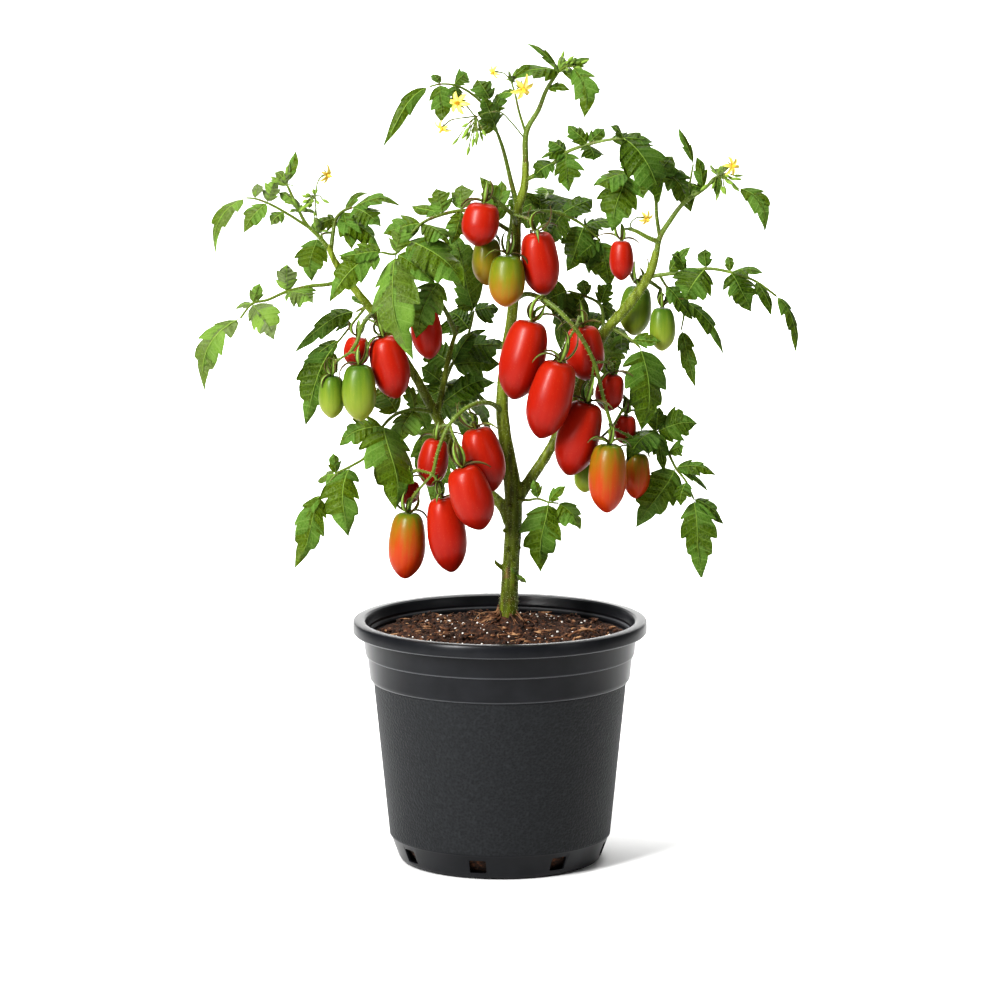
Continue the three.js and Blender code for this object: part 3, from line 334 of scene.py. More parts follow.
# Open flowers: its name, the end of the stalk that carries it, the way it faces and its radius
FLOWERS = [
    ("flower_left", (-163, -14, 657), (0.8, -0.5, -0.2), 9),
    ("flower_top_left_1", (-38, -39, 726), (-0.5, -0.85, 0.1), 12),
    ("flower_top_left_2", (-53, -42, 704), (-0.5, -0.4, -0.8), 9),
    ("flower_apex", (21, -18, 738), (0.3, -0.85, -0.3), 12),
    ("flower_apex_small", (-5, -10, 753), (-0.7, -0.6, -0.3), 7),
    ("flower_right", (216, -24, 666), (0.5, -0.75, 0.1), 9),
    ("flower_upper_right", (136, -21, 617), (0.6, -0.7, -0.4), 8),
]

# Share of the way down a plum fruit, and its half width there as a share of the widest
FRUIT_CURVE = [(0, 0), (0.004, 0.26), (0.02, 0.5), (0.05, 0.67), (0.1, 0.79), (0.2, 0.9), (0.36, 0.97),
               (0.5, 1), (0.64, 0.965), (0.76, 0.86), (0.85, 0.695), (0.92, 0.49), (0.965, 0.305),
               (0.99, 0.155), (1, 0)]

# Colours of a fruit from its blossom end (0) to its shoulder (1), by ripeness
RIPENESS = {
    # A red fruit's own colour is even; its ramp darkens towards the blossom end as painted shade on the fruit's
    # underside, and a little again at the shoulder.
    "red": [(0.12, "#6c0c03"), (0.4, "#8f1605"), (0.75, "#9d2107"), (0.95, "#861a06")],
    "orange": [(0.2, "#8f1f05"), (0.4, "#a13609"), (0.6, "#87580e"), (0.78, "#566a14")],
    "turning": [(0.16, "#90480a"), (0.36, "#885e0f"), (0.56, "#6c7015"), (0.82, "#45600f")],
    "olive": [(0.16, "#7d560c"), (0.4, "#786212"), (0.6, "#646212"), (0.85, "#43590e")],
    "green": [(0.16, "#878a36"), (0.42, "#6f7f26"), (0.62, "#566f1e"), (0.84, "#34540f")],
}
# The library slot of each ripeness
FRUIT_SLOTS = {"red": "fruit_red", "orange": "fruit_orange", "turning": "fruit_turning",
               "olive": "fruit_turning", "green": "fruit_green"}

# Old leaf scars and root bumps on the trunk: place and radius
TRUNK_BUMPS = [((15, -5, 324), 3.4), ((5, -6, 318), 2.6), ((17, -4, 301), 3.2), ((7, -8, 300), 2.4),
               ((12, -8, 291), 2.2), ((14, -5, 268), 2.6), ((3, -5, 262), 2.2), ((10, -8, 340), 3.2)]


def linear(hex_code):
    """A screen colour such as #3f7426 as linear red, green, blue and full alpha."""
    shares = [int(hex_code[i:i + 2], 16) / 255 for i in (1, 3, 5)]
    return tuple(c / 12.92 if c <= 0.04045 else ((c + 0.055) / 1.055) ** 2.4 for c in shares) + (1,)


def add(tree, kind, links=None, stops=None, **settings):
    """Adds a shader node with its settings and ramp stops, and fills or links its inputs.

    A node given for an input stands for its first output. The inputs of a Map Range are 0 for the
    value, 1 and 2 for the range it comes from, 3 and 4 for the range it goes to; those of a colour
    Mix are 0 for the share, 6 and 7 for the colours.
    """
    made = tree.nodes.new("ShaderNode" + kind)
    for name, value in settings.items():
        setattr(made, name, value)
    for i, (position, colour) in enumerate(stops or ()):
        ramp = made.color_ramp.elements
        stop = ramp[i] if i < 2 else ramp.new(position)
        stop.position = position
        stop.color = linear(colour) if isinstance(colour, str) else colour
    for socket, value in (links or {}).items():
        if isinstance(value, bpy.types.Node):
            value = value.outputs[0]
        if isinstance(value, bpy.types.NodeSocket):
            tree.links.new(value, made.inputs[socket])
        else:
            made.inputs[socket].default_value = value
    return made


def start_material(name, **constants):
    """A new material and its tree, with the constants set on its surface shader."""
    made = bpy.data.materials.new(name)
    made.use_nodes = True
    shader = made.node_tree.nodes["Principled BSDF"]
    for socket, value in constants.items():
        shader.inputs[socket.replace("_", " ")].default_value = value
    return made, made.node_tree


def dress(made, colour, height=None, strength=1.0, depth=1.0, roughness=None):
    """Links a colour, a relief whose depth is in mm and a roughness to the material's shader."""
    tree = made.node_tree
    shader = tree.nodes["Principled BSDF"]
    tree.links.new(colour, shader.inputs["Base Color"])
    if height is not None:
        relief = add(tree, "Bump", {"Height": height, "Strength": strength, "Distance": depth * MM})
        tree.links.new(relief.outputs[0], shader.inputs["Normal"])
    if roughness is not None:
        tree.links.new(roughness.outputs[0], shader.inputs["Roughness"])
    return made


class Growth:
    """A grown piece in the making: points in mm, faces with their finish, and blade coordinates."""

    def __init__(self):
        self.points, self.faces, self.finishes, self.coords, self.tints = [], [], [], [], []
        self.count = 0

    def add(self, points, faces, finish=0, coords=None, tint=0.5):
        points = np.asarray(points, float).reshape(-1, 3)
        self.points.append(points)
        self.faces += [tuple(int(i) + self.count for i in face) for face in faces]
        self.finishes += [finish] * len(faces)
        self.coords.append(np.zeros((len(points), 2)) if coords is None else np.asarray(coords, float))
        self.tints.append(np.full(len(points), tint) if np.isscalar(tint) else np.asarray(tint, float))
        self.count += len(points)

    def make(self, name, materials):
        """The piece as an object whose mesh carries the blade coordinates and the tint."""
        mesh = bpy.data.meshes.new(name)
        mesh.from_pydata((np.concatenate(self.points) * MM).tolist(), [], self.faces)
        for material in materials:
            mesh.materials.append(material)
        mesh.polygons.foreach_set("material_index", self.finishes)
        mesh.polygons.foreach_set("use_smooth", [True] * len(mesh.polygons))
        corners = np.empty(len(mesh.loops), np.int32)
        mesh.loops.foreach_get("vertex_index", corners)
        layer = mesh.uv_layers.new(name="grown")
        layer.data.foreach_set("uv", np.concatenate(self.coords)[corners].astype(np.float32).ravel())
        tint = mesh.attributes.new("tint", "FLOAT", "POINT")
        tint.data.foreach_set("value", np.concatenate(self.tints).astype(np.float32))
        made = bpy.data.objects.new(name, mesh)
        bpy.context.scene.collection.objects.link(made)
        return made


def unit(v):
    """The vector at length 1."""
    return v / max(np.linalg.norm(v), 1e-9)


def curve_through(path, spans):
    """Points of a smooth centripetal curve through the path, spans to each stretch."""
    path = np.asarray(path, float)
    ends = np.vstack([2 * path[0] - path[1], path, 2 * path[-1] - path[-2]])
    share = (np.arange(spans) / spans)[:, None]
    points = []
    for p0, p1, p2, p3 in zip(ends, ends[1:], ends[2:], ends[3:]):
        d0, d1, d2 = (max(np.linalg.norm(b - a), 1e-4) ** 0.5 for a, b in ((p0, p1), (p1, p2), (p2, p3)))
        t1 = ((p1 - p0) / d0 - (p2 - p0) / (d0 + d1) + (p2 - p1) / d1) * d1
        t2 = ((p2 - p1) / d1 - (p3 - p1) / (d1 + d2) + (p3 - p2) / d2) * d1
        square = -3 * p1 + 3 * p2 - 2 * t1 - t2
        cube = 2 * p1 - 2 * p2 + t1 + t2
        points.append(p1 + share * t1 + share ** 2 * square + share ** 3 * cube)
    return np.vstack(points + [path[-1:]])


def tube(growth, path, radii, sides=8, spans=4, finish=0, tint=0.5, ribs=0.0):
    """A closed stalk along the path. Its radii run evenly from root to end, and ribs make it angular."""
    centres = curve_through(path, spans)
    rings = len(centres)
    tangents = np.gradient(centres, axis=0)
    shares = np.linspace(0, 1, rings)
    sizes = np.interp(shares, np.linspace(0, 1, len(radii)), radii)
    angles = 2 * np.pi * np.arange(sides) / sides
    across = unit(np.cross(tangents[0], (0.31, 0.87, 0.38)))
    points = []
    for centre, tangent, size in zip(centres, tangents, sizes):
        way = unit(tangent)
        across = unit(across - across.dot(way) * way)
        beside = np.cross(way, across)
        swell = size * (1 + ribs * np.cos(5 * angles))[:, None]
        points.append(centre + swell * (np.cos(angles)[:, None] * across + np.sin(angles)[:, None] * beside))
    index = np.arange(rings * sides).reshape(rings, sides)
    turned = np.roll(index, -1, axis=1)
    faces = np.stack([index[:-1], turned[:-1], turned[1:], index[1:]], -1).reshape(-1, 4).tolist()
    faces += [index[0, ::-1].tolist(), index[-1].tolist()]
    coords = [(i / sides, s * rings / 4) for s in shares for i in range(sides)]
    growth.add(np.vstack(points), faces, finish, coords, tint)


def slab(growth, top, normal, thickness, coords, finish, under_finish, tint):
    """Closes a sheet of rows and columns of points into a thin slab with an upper and an under face."""
    rows, columns = top.shape[:2]
    lift = 0.5 * thickness * normal
    index = np.arange(rows * columns).reshape(rows, columns)
    quads = np.stack([index[:-1, :-1], index[:-1, 1:], index[1:, 1:], index[1:, :-1]], -1).reshape(-1, 4)
    rim = list(index[0]) + list(index[1:, -1]) + list(index[-1, -2::-1]) + list(index[-2:0:-1, 0])
    below = rows * columns
    walls = [(a, below + a, below + b, b) for a, b in zip(rim, rim[1:] + rim[:1])]
    start = growth.count
    growth.add((top + lift).reshape(-1, 3), quads[:, ::-1], finish, coords, tint)
    growth.add((top - lift).reshape(-1, 3), quads, under_finish, coords, tint)
    growth.faces += [tuple(int(i) + start for i in wall) for wall in walls]
    growth.finishes += [under_finish] * len(walls)


def leaflet(growth, base, tip, width, bow, facing, seed, tint, shape):
    """One lobed, folded and arched leaflet with its own stalk, as the leaf tables place it."""
    draw = np.random.default_rng(seed)
    base, tip = np.array(base, float), np.array(tip, float)
    length = np.linalg.norm(tip - base)
    way = (tip - base) / length
    normal = np.array(facing, float)
    normal = unit(normal - normal.dot(way) * way)
    side = np.cross(way, normal)
    roll = 1.1 * (draw.random() - 0.5)
    normal, side = (math.cos(roll) * normal + math.sin(roll) * side,
                    math.cos(roll) * side - math.sin(roll) * normal)
    bend = (base + tip) / 2 + BLADE_ARCH * length * (normal + np.array((0, 0, 1))) + 2 * bow * side
    half = shape.fullness * width / 2
    lobes = 4 if width >= 20 else 3 if width >= 12 else 2

    # The blade is a grid: rows run along it and count its lobes, v runs from edge to edge.
    rows, columns = lobes * 11 + 1, 13 if width >= 13 else 9
    q = np.linspace(0, lobes, rows)
    share = q / lobes
    along = LEAF_STALK + (1 - LEAF_STALK) * share ** 1.08
    # The outline of the whole leaflet; 0.391 is the top of its curve, which this brings to 1.
    envelope = share ** 0.46 * (1 - share) ** 1.08 / 0.391 + 0.012
    v = np.linspace(-1, 1, columns)
    offset = 0.35 * draw.random(2)
    row = q[:, None] + np.where(v < 0, offset[0], offset[1])[None, :] * (1 - share[:, None] ** 3)

    def by_lobe(values):
        """Values of the lobes on each side, spread over the grid."""
        return np.where(v < 0, *(np.interp(row[:, i], np.arange(lobes + 2), values[j])[:, None]
                                 for i, j in ((0, 0), (-1, 1))))

    # Each lobe swells slowly and ends in a quick cut, and it carries small teeth.
    swing = np.where(row % 1 < 0.7, 1 - row % 1 / 0.7, (row % 1 - 0.7) / 0.3)
    notch = np.where(row > lobes - 0.3, 0, swing ** 1.7)
    depth = shape.lobing * by_lobe(0.35 + 1.05 * draw.random((2, lobes + 2))) * (1 - 0.8 * share[:, None])
    teeth = BLADE_TEETH * np.abs(2 * ((2 * row + 0.5) % 1) - 1)
    gain = by_lobe(0.84 + 0.32 * draw.random((2, lobes + 2)))
    reach = half * envelope[:, None] * (1 - depth * notch + teeth) * gain
    v = v[None, :]

    # The lobes lean towards the tip.
    lean = reach * (0.85 * share[:, None] ** 0.4 - 0.12) * (1 - share[:, None]) ** 0.5
    lean = lean + 0.26 * length / lobes * (1 - notch) * envelope[:, None]
    lean = lean * np.abs(v) ** 1.2 / length * (1 - share[:, None] ** 3)
    swerve = BLADE_SWERVE * length * (2 * draw.random() - 1)

    def middle(s):
        """The midrib at shares of its length."""
        arch = (1 - s) ** 2 * base + 2 * s * (1 - s) * bend + s ** 2 * tip
        return arch + swerve * np.sin(np.pi * s ** 1.6) * side

    phase = 6.3 * draw.random(3)
    fold = -BLADE_FOLD * (0.7 + 0.5 * draw.random()) * reach * np.abs(v) ** 1.3
    wave = BLADE_WAVE * half * np.abs(v) ** 2 * np.sin(2.2 * q[:, None] + phase[0] + np.sign(v) * phase[1])
    sag = -BLADE_SAG * length * share[:, None] ** 4 * np.ones_like(v)
    top = middle(np.minimum(along[:, None] + lean, 1)[..., None])
    top = top + (v * reach)[..., None] * side + (fold + wave + sag)[..., None] * normal
    coords = np.stack([row, np.broadcast_to(v, row.shape)], -1)
    tone = tint + 0.12 * (draw.random() - 0.5)
    # Open fault: the setting is in metres and is used here as mm, so that a blade comes out a
    # thousandth of the thickness it says, with its two faces all but touching.
    slab(growth, top, normal, shape.thickness, coords.reshape(-1, 2), UPPER, UNDER, tone)
    rib = middle(np.linspace(0, 0.82, 7)[:, None]) - normal * (0.2 + shape.thickness / 2)
    thick = max(0.45, 0.024 * width)
    tube(growth, rib, [thick, thick * 0.8, 0.25], sides=5, spans=1, finish=UNDER, tint=0.8)


def frond(growth, spec, facing, seed, tint, shape):
    """A rachis with its leaflets."""
    radius = spec.get("radius", 1.5)
    tube(growth, spec["rachis"], [radius, max(0.8, radius * 0.5)], sides=8, spans=5, finish=STALK, tint=tint,
         ribs=0.06)
    for i, (start, tip, width, *bow) in enumerate(spec["leaflets"]):
        leaflet(growth, spec["rachis"][start], tip, width, bow[0] if bow else 0,
                spec.get("facing", facing), seed + 7 * i, tint, shape)


def stalk(growth, path):
    """A thin flower stalk."""
    tube(growth, path, [0.85, 0.65, 0.75], sides=6, spans=6, finish=STALK, tint=0.6)


def bud(growth, start, tip, seed):
    """A drooping closed flower: a thin pedicel, a green spindle and the tips of its sepals."""
    draw = np.random.default_rng(seed)
    start, tip = np.array(start, float), np.array(tip, float)
    way = unit(tip - start)
    size = 0.85 + 0.3 * draw.random()
    neck = tip - min(9.5, 0.5 * np.linalg.norm(tip - start)) * way
    knee = start + 0.5 * (neck - start) + np.array((0, 0, 2.0))
    tube(growth, [start, knee, neck], [0.6, 0.5, 0.7], 5, 4, STALK, 0.7)
    spindle = [neck, neck + 0.35 * (tip - neck), neck + 0.7 * (tip - neck), tip]
    tube(growth, spindle, [0.7, 1.6 * size, 1.5 * size, 0.9 * size, 0.25], 8, 3, UNDER, 0.9, ribs=0.12)


def spray_way(way, spread, draw):
    """A random way within the spread of the main one."""
    return unit(unit(np.array(way, float)) + spread * (2 * draw.random(3) - 1))


def tuft(growth, at, way, count, reach, seed, shape):
    """Narrow young leaflets that leave a shoot's tip all round its way."""
    draw = np.random.default_rng(seed)
    for i in range(count):
        tip = np.array(at, float) + reach * (0.5 + 0.6 * draw.random()) * spray_way(way, 1.1, draw)
        width, bow = 2.5 + 2 * draw.random(), 3 * (draw.random() - 0.5)
        leaflet(growth, at, tip, width, bow, FRONT, seed + 13 * i, 0.6, shape)


def bunch(growth, at, way, count, reach, seed):
    """Closed flowers on a branching stalk."""
    draw = np.random.default_rng(seed)
    at = np.array(at, float)
    for i in range(count):
        start = at + 0.25 * reach * draw.random() * unit(np.array(way, float))
        bud(growth, start, at + reach * (0.55 + 0.6 * draw.random()) * spray_way(way, 0.75, draw), seed + i)


def sepal(growth, root, out, up, length, width, curl, finish, tint):
    """A narrow pointed strip that leaves its root outwards and curls up."""
    rows = 8
    share = np.linspace(0, 1, rows)
    angle = curl[0] + (curl[1] - curl[0]) * share
    steps = length / (rows - 1)
    run = np.concatenate([[0], np.cumsum(np.cos(angle[:-1]) * steps)])
    climb = np.concatenate([[0], np.cumsum(np.sin(angle[:-1]) * steps)])
    side = np.cross(out, up)
    half = 0.5 * width * np.maximum(np.sin(np.pi * (0.22 + 0.78 * share)), 0.08)
    v = np.array((-1.0, 0.0, 1.0))[None, :]
    centre = root + run[:, None] * out + climb[:, None] * up
    keel = 0.45 * half[:, None] * np.abs(v)
    lift = -np.sin(angle)[:, None] * out + np.cos(angle)[:, None] * up
    top = centre[:, None, :] + (half[:, None] * v)[..., None] * side + keel[..., None] * lift[:, None, :]
    normal = unit(lift.mean(0))
    coords = np.stack([np.broadcast_to(share[:, None], (rows, 3)), np.broadcast_to(v, (rows, 3))], -1)
    slab(growth, top, normal, 0.25 + 0.14 * width, coords.reshape(-1, 2), finish, finish, tint)


def frame_of(axis):
    """Two directions square to an axis and to each other."""
    first = unit(np.cross(axis, (0.2, 0.97, 0.13)))
    return first, np.cross(axis, first)


def calyx(growth, seat, up, width, seed):
    """The green star on a fruit: thin sepals that curl up from its shoulder."""
    draw = np.random.default_rng(seed)
    first, second = frame_of(up)
    count = 5 + int(draw.random() < 0.5)
    turn = 6.3 * draw.random()
    for i in range(count):
        angle = turn + 2 * np.pi * (i + 0.35 * (draw.random() - 0.5)) / count
        out = math.cos(angle) * first + math.sin(angle) * second
        length = (0.5 + 0.36 * draw.random()) * width + 5
        first_rise = 0.15 + 0.75 * draw.random()
        curl = (first_rise, first_rise + (1.6 + 1.8 * draw.random()) * (1 if draw.random() < 0.6 else -0.7))
        sepal(growth, seat + 0.8 * out, out, up, length, 3.4 + 0.04 * width, curl, SEPAL,
              0.3 + 0.5 * draw.random())


def truss_growth(growth, spec, seed):
    """A peduncle with a kneed pedicel and a calyx for each fruit."""
    peduncle = spec["peduncle"]
    tube(growth, peduncle, [2.6, 2.2, 1.9, 1.7], 10, 6, STALK, 0.5, ribs=0.05)
    for i, (source, top, tip, width, _) in enumerate(spec["fruits"]):
        top, tip = np.array(top, float), np.array(tip, float)
        up = unit(top - tip)
        seat = top - up * (0.03 * np.linalg.norm(top - tip) - 0.8)
        start = np.array(peduncle[source], float)
        neck = top + 9 * up
        neck = neck + 0.15 * (start - neck)
        radii = [1.3, 1.2, 1.25, 2.1, 1.4, 1.35, 1.5, 2.3]
        tube(growth, [start, neck, seat], radii, 8, 7, STALK, 0.45)
        calyx(growth, seat + 0.5 * up, up, width, seed + 11 * i)
    for path in spec.get("stalks", ()):
        stalk(growth, path)


def clear_selection():
    """Leaves nothing selected, so that an operator changes only what it is meant to."""
    bpy.ops.object.select_all(action="DESELECT")


def take(made):
    """Makes this the one selected and active object."""
    clear_selection()
    made.select_set(True)
    bpy.context.view_layer.objects.active = made


def apply_modifier(made, kind, **settings):
    """Adds a modifier with its settings and applies it."""
    take(made)
    modifier = made.modifiers.new(kind, kind)
    for name, value in settings.items():
        setattr(modifier, name, value)
    bpy.ops.object.modifier_apply(modifier=modifier.name)


def draw_out(ratio, last, level):
    """Extrudes the selected loop from its last level to a new one and scales it about the pot's axis."""
    bpy.ops.mesh.extrude_region_move(TRANSFORM_OT_translate={"value": (0, 0, (level - last) * MM)})
    bpy.ops.transform.resize(value=(ratio, ratio, 1), center_override=(0, 0, level * MM))


def leave_editing():
    """Turns all faces outwards and goes back to Object mode."""
    bpy.ops.mesh.select_all(action="SELECT")
    bpy.ops.mesh.normals_make_consistent(inside=False)
    bpy.ops.object.mode_set(mode="OBJECT")


def settle(made):
    """Puts the object's place, turn and size into its mesh."""
    take(made)
    bpy.ops.object.transform_apply(location=True, rotation=True, scale=True)


def coordinates(made):
    """The object's points in mm."""
    found = np.empty(len(made.data.vertices) * 3)
    made.data.vertices.foreach_get("co", found)
    return found.reshape(-1, 3) / MM


def move_to(made, points):
    """Moves the object's points to places in mm."""
    made.data.vertices.foreach_set("co", (points * MM).astype(np.float32).ravel())
    made.data.update()


def seat(made, name, slot, *nodes):
    """Names a finished piece, lets it ride on the plant and stand for its solids."""
    made.name = made.data.name = name
    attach(made, "root")
    if nodes:
        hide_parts(*nodes)
    return made


def mottled(name, stops, size, roughness, bump, stretch=(1, 1, 1), **constants):
    """A skin whose colour runs through the stops in patches of the given size in mm."""
    made, tree = start_material(name, Roughness=roughness, **constants)
    place = add(tree, "TexCoord").outputs["Object"]
    turned = add(tree, "Mapping", {"Vector": place, "Scale": stretch})
    patches = add(tree, "TexNoise", {"Vector": turned, "Scale": 1 / (size * MM), "Detail": 5.0,
                                     "Roughness": 0.62})
    ramp = add(tree, "ValToRGB", {"Fac": patches}, stops)
    return dress(made, ramp.outputs[0], patches, 0.7, bump)


def pot_material(settings):
    """Moulded polypropylene: a satin rim and collars, and a fine leather grain on the wall panel."""
    made, tree = start_material("moulded_polypropylene", Roughness=0.42, IOR=1.49, Specular_IOR_Level=0.2)
    place = add(tree, "TexCoord").outputs["Object"]
    level = add(tree, "SeparateXYZ", {0: place}).outputs[2]
    below = add(tree, "MapRange", {0: level, 1: PANEL_TOP * MM, 2: (PANEL_TOP - 1) * MM})
    above = add(tree, "MapRange", {0: level, 1: PANEL_FOOT * MM, 2: (PANEL_FOOT + 2) * MM})
    panel = add(tree, "Math", {0: below, 1: above}, operation="MULTIPLY")
    # The grain's real cells are about 0.8 mm wide, drawn at 2 mm so that they show.
    grain = add(tree, "TexVoronoi", {"Vector": place, "Scale": 1 / (2.0 * MM)}, feature="SMOOTH_F1")
    dust = add(tree, "TexNoise", {"Vector": place, "Scale": 1 / (28 * MM), "Detail": 6.0})
    height = add(tree, "Math", {0: grain, 1: panel}, operation="MULTIPLY")
    smooth = add(tree, "ValToRGB", {"Fac": dust}, [(0.35, settings.rim_tone), (0.7, settings.dust_tone)])
    # The grain's colour is painted light: painted shade in its pits and a painted sheen on its tops, which also
    # makes the panel lighter than the rim.
    grained = add(tree, "ValToRGB", {"Fac": grain}, [(0.1, settings.grain_pit_shade_tone), (0.8, settings.grain_top_sheen_tone)])
    colour = add(tree, "Mix", {0: panel, 6: smooth, 7: grained}, data_type="RGBA")
    # Pale bands at the steps' edges are painted highlights, in place of the thin light lines these edges catch;
    # worn here is the mask of this painted highlight, not wear.
    for step in HIGHLIT_STEPS:
        away = add(tree, "Math", {0: level, 1: step * MM}, operation="SUBTRACT")
        away = add(tree, "Math", {0: away}, operation="ABSOLUTE")
        worn = add(tree, "MapRange", {0: away, 1: 0.4 * MM, 2: 1.2 * MM, 3: 0.4, 4: 0.0})
        colour = add(tree, "Mix", {0: worn, 6: colour.outputs[2], 7: linear("#6e7073")}, data_type="RGBA")
    rough = add(tree, "MapRange", {0: panel, 3: 0.3, 4: 0.56})
    return dress(made, colour.outputs[2], height, 0.8, 0.7, rough)


def stem_material(settings):
    """Living stem skin: green with pale length-wise streaks, corky and brown towards the ground."""
    made, tree = start_material("tomato_stem_skin", Roughness=0.5, IOR=1.42, Specular_IOR_Level=0.3)
    place = add(tree, "TexCoord").outputs["Object"]
    long = add(tree, "Mapping", {"Vector": place, "Scale": (1, 1, 0.12)})
    streak = add(tree, "TexNoise", {"Vector": long, "Scale": 1 / (3 * MM), "Detail": 4.0})
    patch = add(tree, "TexNoise", {"Vector": place, "Scale": 1 / (11 * MM), "Detail": 5.0})
    level = add(tree, "SeparateXYZ", {0: place}).outputs[2]
    young = add(tree, "MapRange", {0: level, 1: 0.4, 2: 0.62, 3: 0.0, 4: 0.15})
    shade = add(tree, "Math", {0: streak, 1: young}, operation="ADD")
    green = add(tree, "ValToRGB", {"Fac": shade},
                [(0.3, settings.deep_tone), (0.5, settings.green_tone), (0.85, settings.pale_tone)])
    cork = add(tree, "ValToRGB", {"Fac": streak}, [(0.35, "#43331a"), (0.65, "#7f6a3c")])
    low = add(tree, "MapRange", {0: level, 1: 0.34, 2: 0.23, 3: -0.2, 4: 0.0})
    worn = add(tree, "Math", {0: patch, 1: low}, operation="ADD")
    corky = add(tree, "MapRange", {0: worn, 1: 0.48, 2: 0.6})
    colour = add(tree, "Mix", {0: corky, 6: green, 7: cork}, data_type="RGBA")
    return dress(made, colour.outputs[2], streak, 0.5, 0.6)


def leaf_material(name, deep, mid, pale, vein, roughness, depth):
    """Leaf skin: puckered between a net of veins, its tone drifting from leaflet to leaflet."""
    made, tree = start_material(name, Roughness=roughness, IOR=1.42, Specular_IOR_Level=0.16,
                                Subsurface_Weight=0.02, Subsurface_Radius=(0.5, 1.0, 0.15),
                                Subsurface_Scale=0.0012)
    soft = {"interpolation_type": "SMOOTHSTEP"}
    place = add(tree, "TexCoord").outputs["Object"]
    split = add(tree, "SeparateXYZ", {0: add(tree, "UVMap", uv_map="grown")})
    off_middle = add(tree, "Math", {0: split.outputs[1]}, operation="ABSOLUTE")
    midrib = add(tree, "MapRange", {0: off_middle, 2: 0.035, 3: 0.5, 4: 0.0}, **soft)
    # Two side veins to a lobe run out from the midrib.
    doubled = add(tree, "Math", {0: split.outputs[0], 1: 2.0, 2: 0.1}, operation="MULTIPLY_ADD")
    row = add(tree, "Math", {0: doubled}, operation="FRACT")
    beside = add(tree, "Math", {0: row, 1: 0.5}, operation="SUBTRACT")
    off_side = add(tree, "Math", {0: beside}, operation="ABSOLUTE")
    side = add(tree, "MapRange", {0: off_side, 1: 0.01, 2: 0.09, 3: 0.3, 4: 0.0}, **soft)
    # The net's real meshes are 1 to 2 mm wide, drawn at 3.4 mm so that they show.
    cells = add(tree, "TexVoronoi", {"Vector": place, "Scale": 1 / (3.4 * MM)}, feature="DISTANCE_TO_EDGE")
    net = add(tree, "MapRange", {0: cells, 2: 0.12, 3: 0.16, 4: 0.0}, **soft)
    main = add(tree, "Math", {0: midrib, 1: side}, operation="MAXIMUM")
    veins = add(tree, "Math", {0: main, 1: net}, operation="MAXIMUM")
    drift = add(tree, "TexNoise", {"Vector": place, "Scale": 1 / (24 * MM), "Detail": 1.0})
    tint = add(tree, "Attribute", attribute_name="tint").outputs["Fac"]
    # Besides age, the tint carries painted light: a paler, greyer painted sheen on the leaves at the left and
    # painted shade on the darker leaves at the right.
    age_and_painted_light = add(tree, "Math", {0: drift, 1: 0.25, 2: tint}, operation="MULTIPLY_ADD")
    blade = add(tree, "ValToRGB", {"Fac": age_and_painted_light}, [(0.1, deep), (0.45, mid), (0.9, pale)])
    colour = add(tree, "Mix", {0: veins, 6: blade, 7: linear(vein)}, data_type="RGBA")
    # The blade bulges between its side veins and again in every mesh of the net.
    quilt = add(tree, "MapRange", {0: off_side, 2: 0.5}, **soft)
    swell = add(tree, "MapRange", {0: cells, 2: 0.45, 4: 0.6}, **soft)
    height = add(tree, "Math", {0: quilt, 1: swell}, operation="ADD")
    return dress(made, colour.outputs[2], height, 1.0, depth)


def fruit_material(name, stops):
    """Ripening skin: waxed and taut, its colour running from the blossom end to the shoulder."""
    made, tree = start_material(name, Roughness=0.36, IOR=1.45, Specular_IOR_Level=0.22, Coat_Weight=0.05,
                                Coat_Roughness=0.15, Subsurface_Weight=0.08,
                                Subsurface_Radius=(1.0, 0.3, 0.1), Subsurface_Scale=0.003)
    place = add(tree, "TexCoord").outputs["Object"]
    grown = add(tree, "UVMap", uv_map="UVMap")
    up = add(tree, "SeparateXYZ", {0: grown}).outputs[1]
    long = add(tree, "Mapping", {"Vector": place, "Scale": (1, 1, 0.35)})
    drift = add(tree, "TexNoise", {"Vector": long, "Scale": 1 / (15 * MM), "Detail": 4.0})
    rise = add(tree, "Math", {0: up, 1: 0.72, 2: -0.15}, operation="MULTIPLY_ADD")
    along = add(tree, "Math", {0: drift, 1: 0.2, 2: rise}, operation="MULTIPLY_ADD")
    # Darker stripes run down from the shoulder, as the flesh's walls show through.
    lines = add(tree, "Mapping", {"Vector": grown, "Scale": (1, 0.12, 1)})
    stripes = add(tree, "TexNoise", {"Vector": lines, "Scale": 22.0, "Detail": 2.0})
    striped = add(tree, "Math", {0: stripes, 1: 0.34, 2: along}, operation="MULTIPLY_ADD")
    ramp = add(tree, "ValToRGB", {"Fac": striped}, stops)
    # Pores a few tenths of a millimetre wide and 2 mm apart are the pale flecks of the skin.
    pores = add(tree, "TexVoronoi", {"Vector": place, "Scale": 1 / (2.2 * MM)}, feature="F1")
    fleck = add(tree, "MapRange", {0: pores, 1: 0.08, 2: 0.2, 3: 0.07, 4: 0.0})
    colour = add(tree, "Mix", {0: fleck, 6: ramp, 7: linear("#f0b070")}, data_type="RGBA")
    return dress(made, colour.outputs[2], drift, 0.3, 1.1)


def mm_setting(name, description, size):
    """A length property whose default is given in mm."""
    return bpy.props.FloatProperty(name=name, description=description, default=size * MM, min=0,
                                   subtype="DISTANCE", unit="LENGTH", precision=4)


def colour_setting(name, description, hex_code):
    """A colour property whose default is given as a screen colour."""
    return bpy.props.FloatVectorProperty(name=name, description=description, default=linear(hex_code),
                                         subtype="COLOR", size=4, min=0, max=1)


def number_setting(name, description, value, high=1):
    """A plain number property."""
    return bpy.props.FloatProperty(name=name, description=description, default=value, min=0, max=high)


def count_setting(name, description, value, low=0):
    """A whole number property."""
    return bpy.props.IntProperty(name=name, description=description, default=value, min=low)


def power_setting(name, description, value):
    """A lamp's power in watts."""
    return bpy.props.FloatProperty(name=name, description=description, default=value, min=0, unit="POWER")


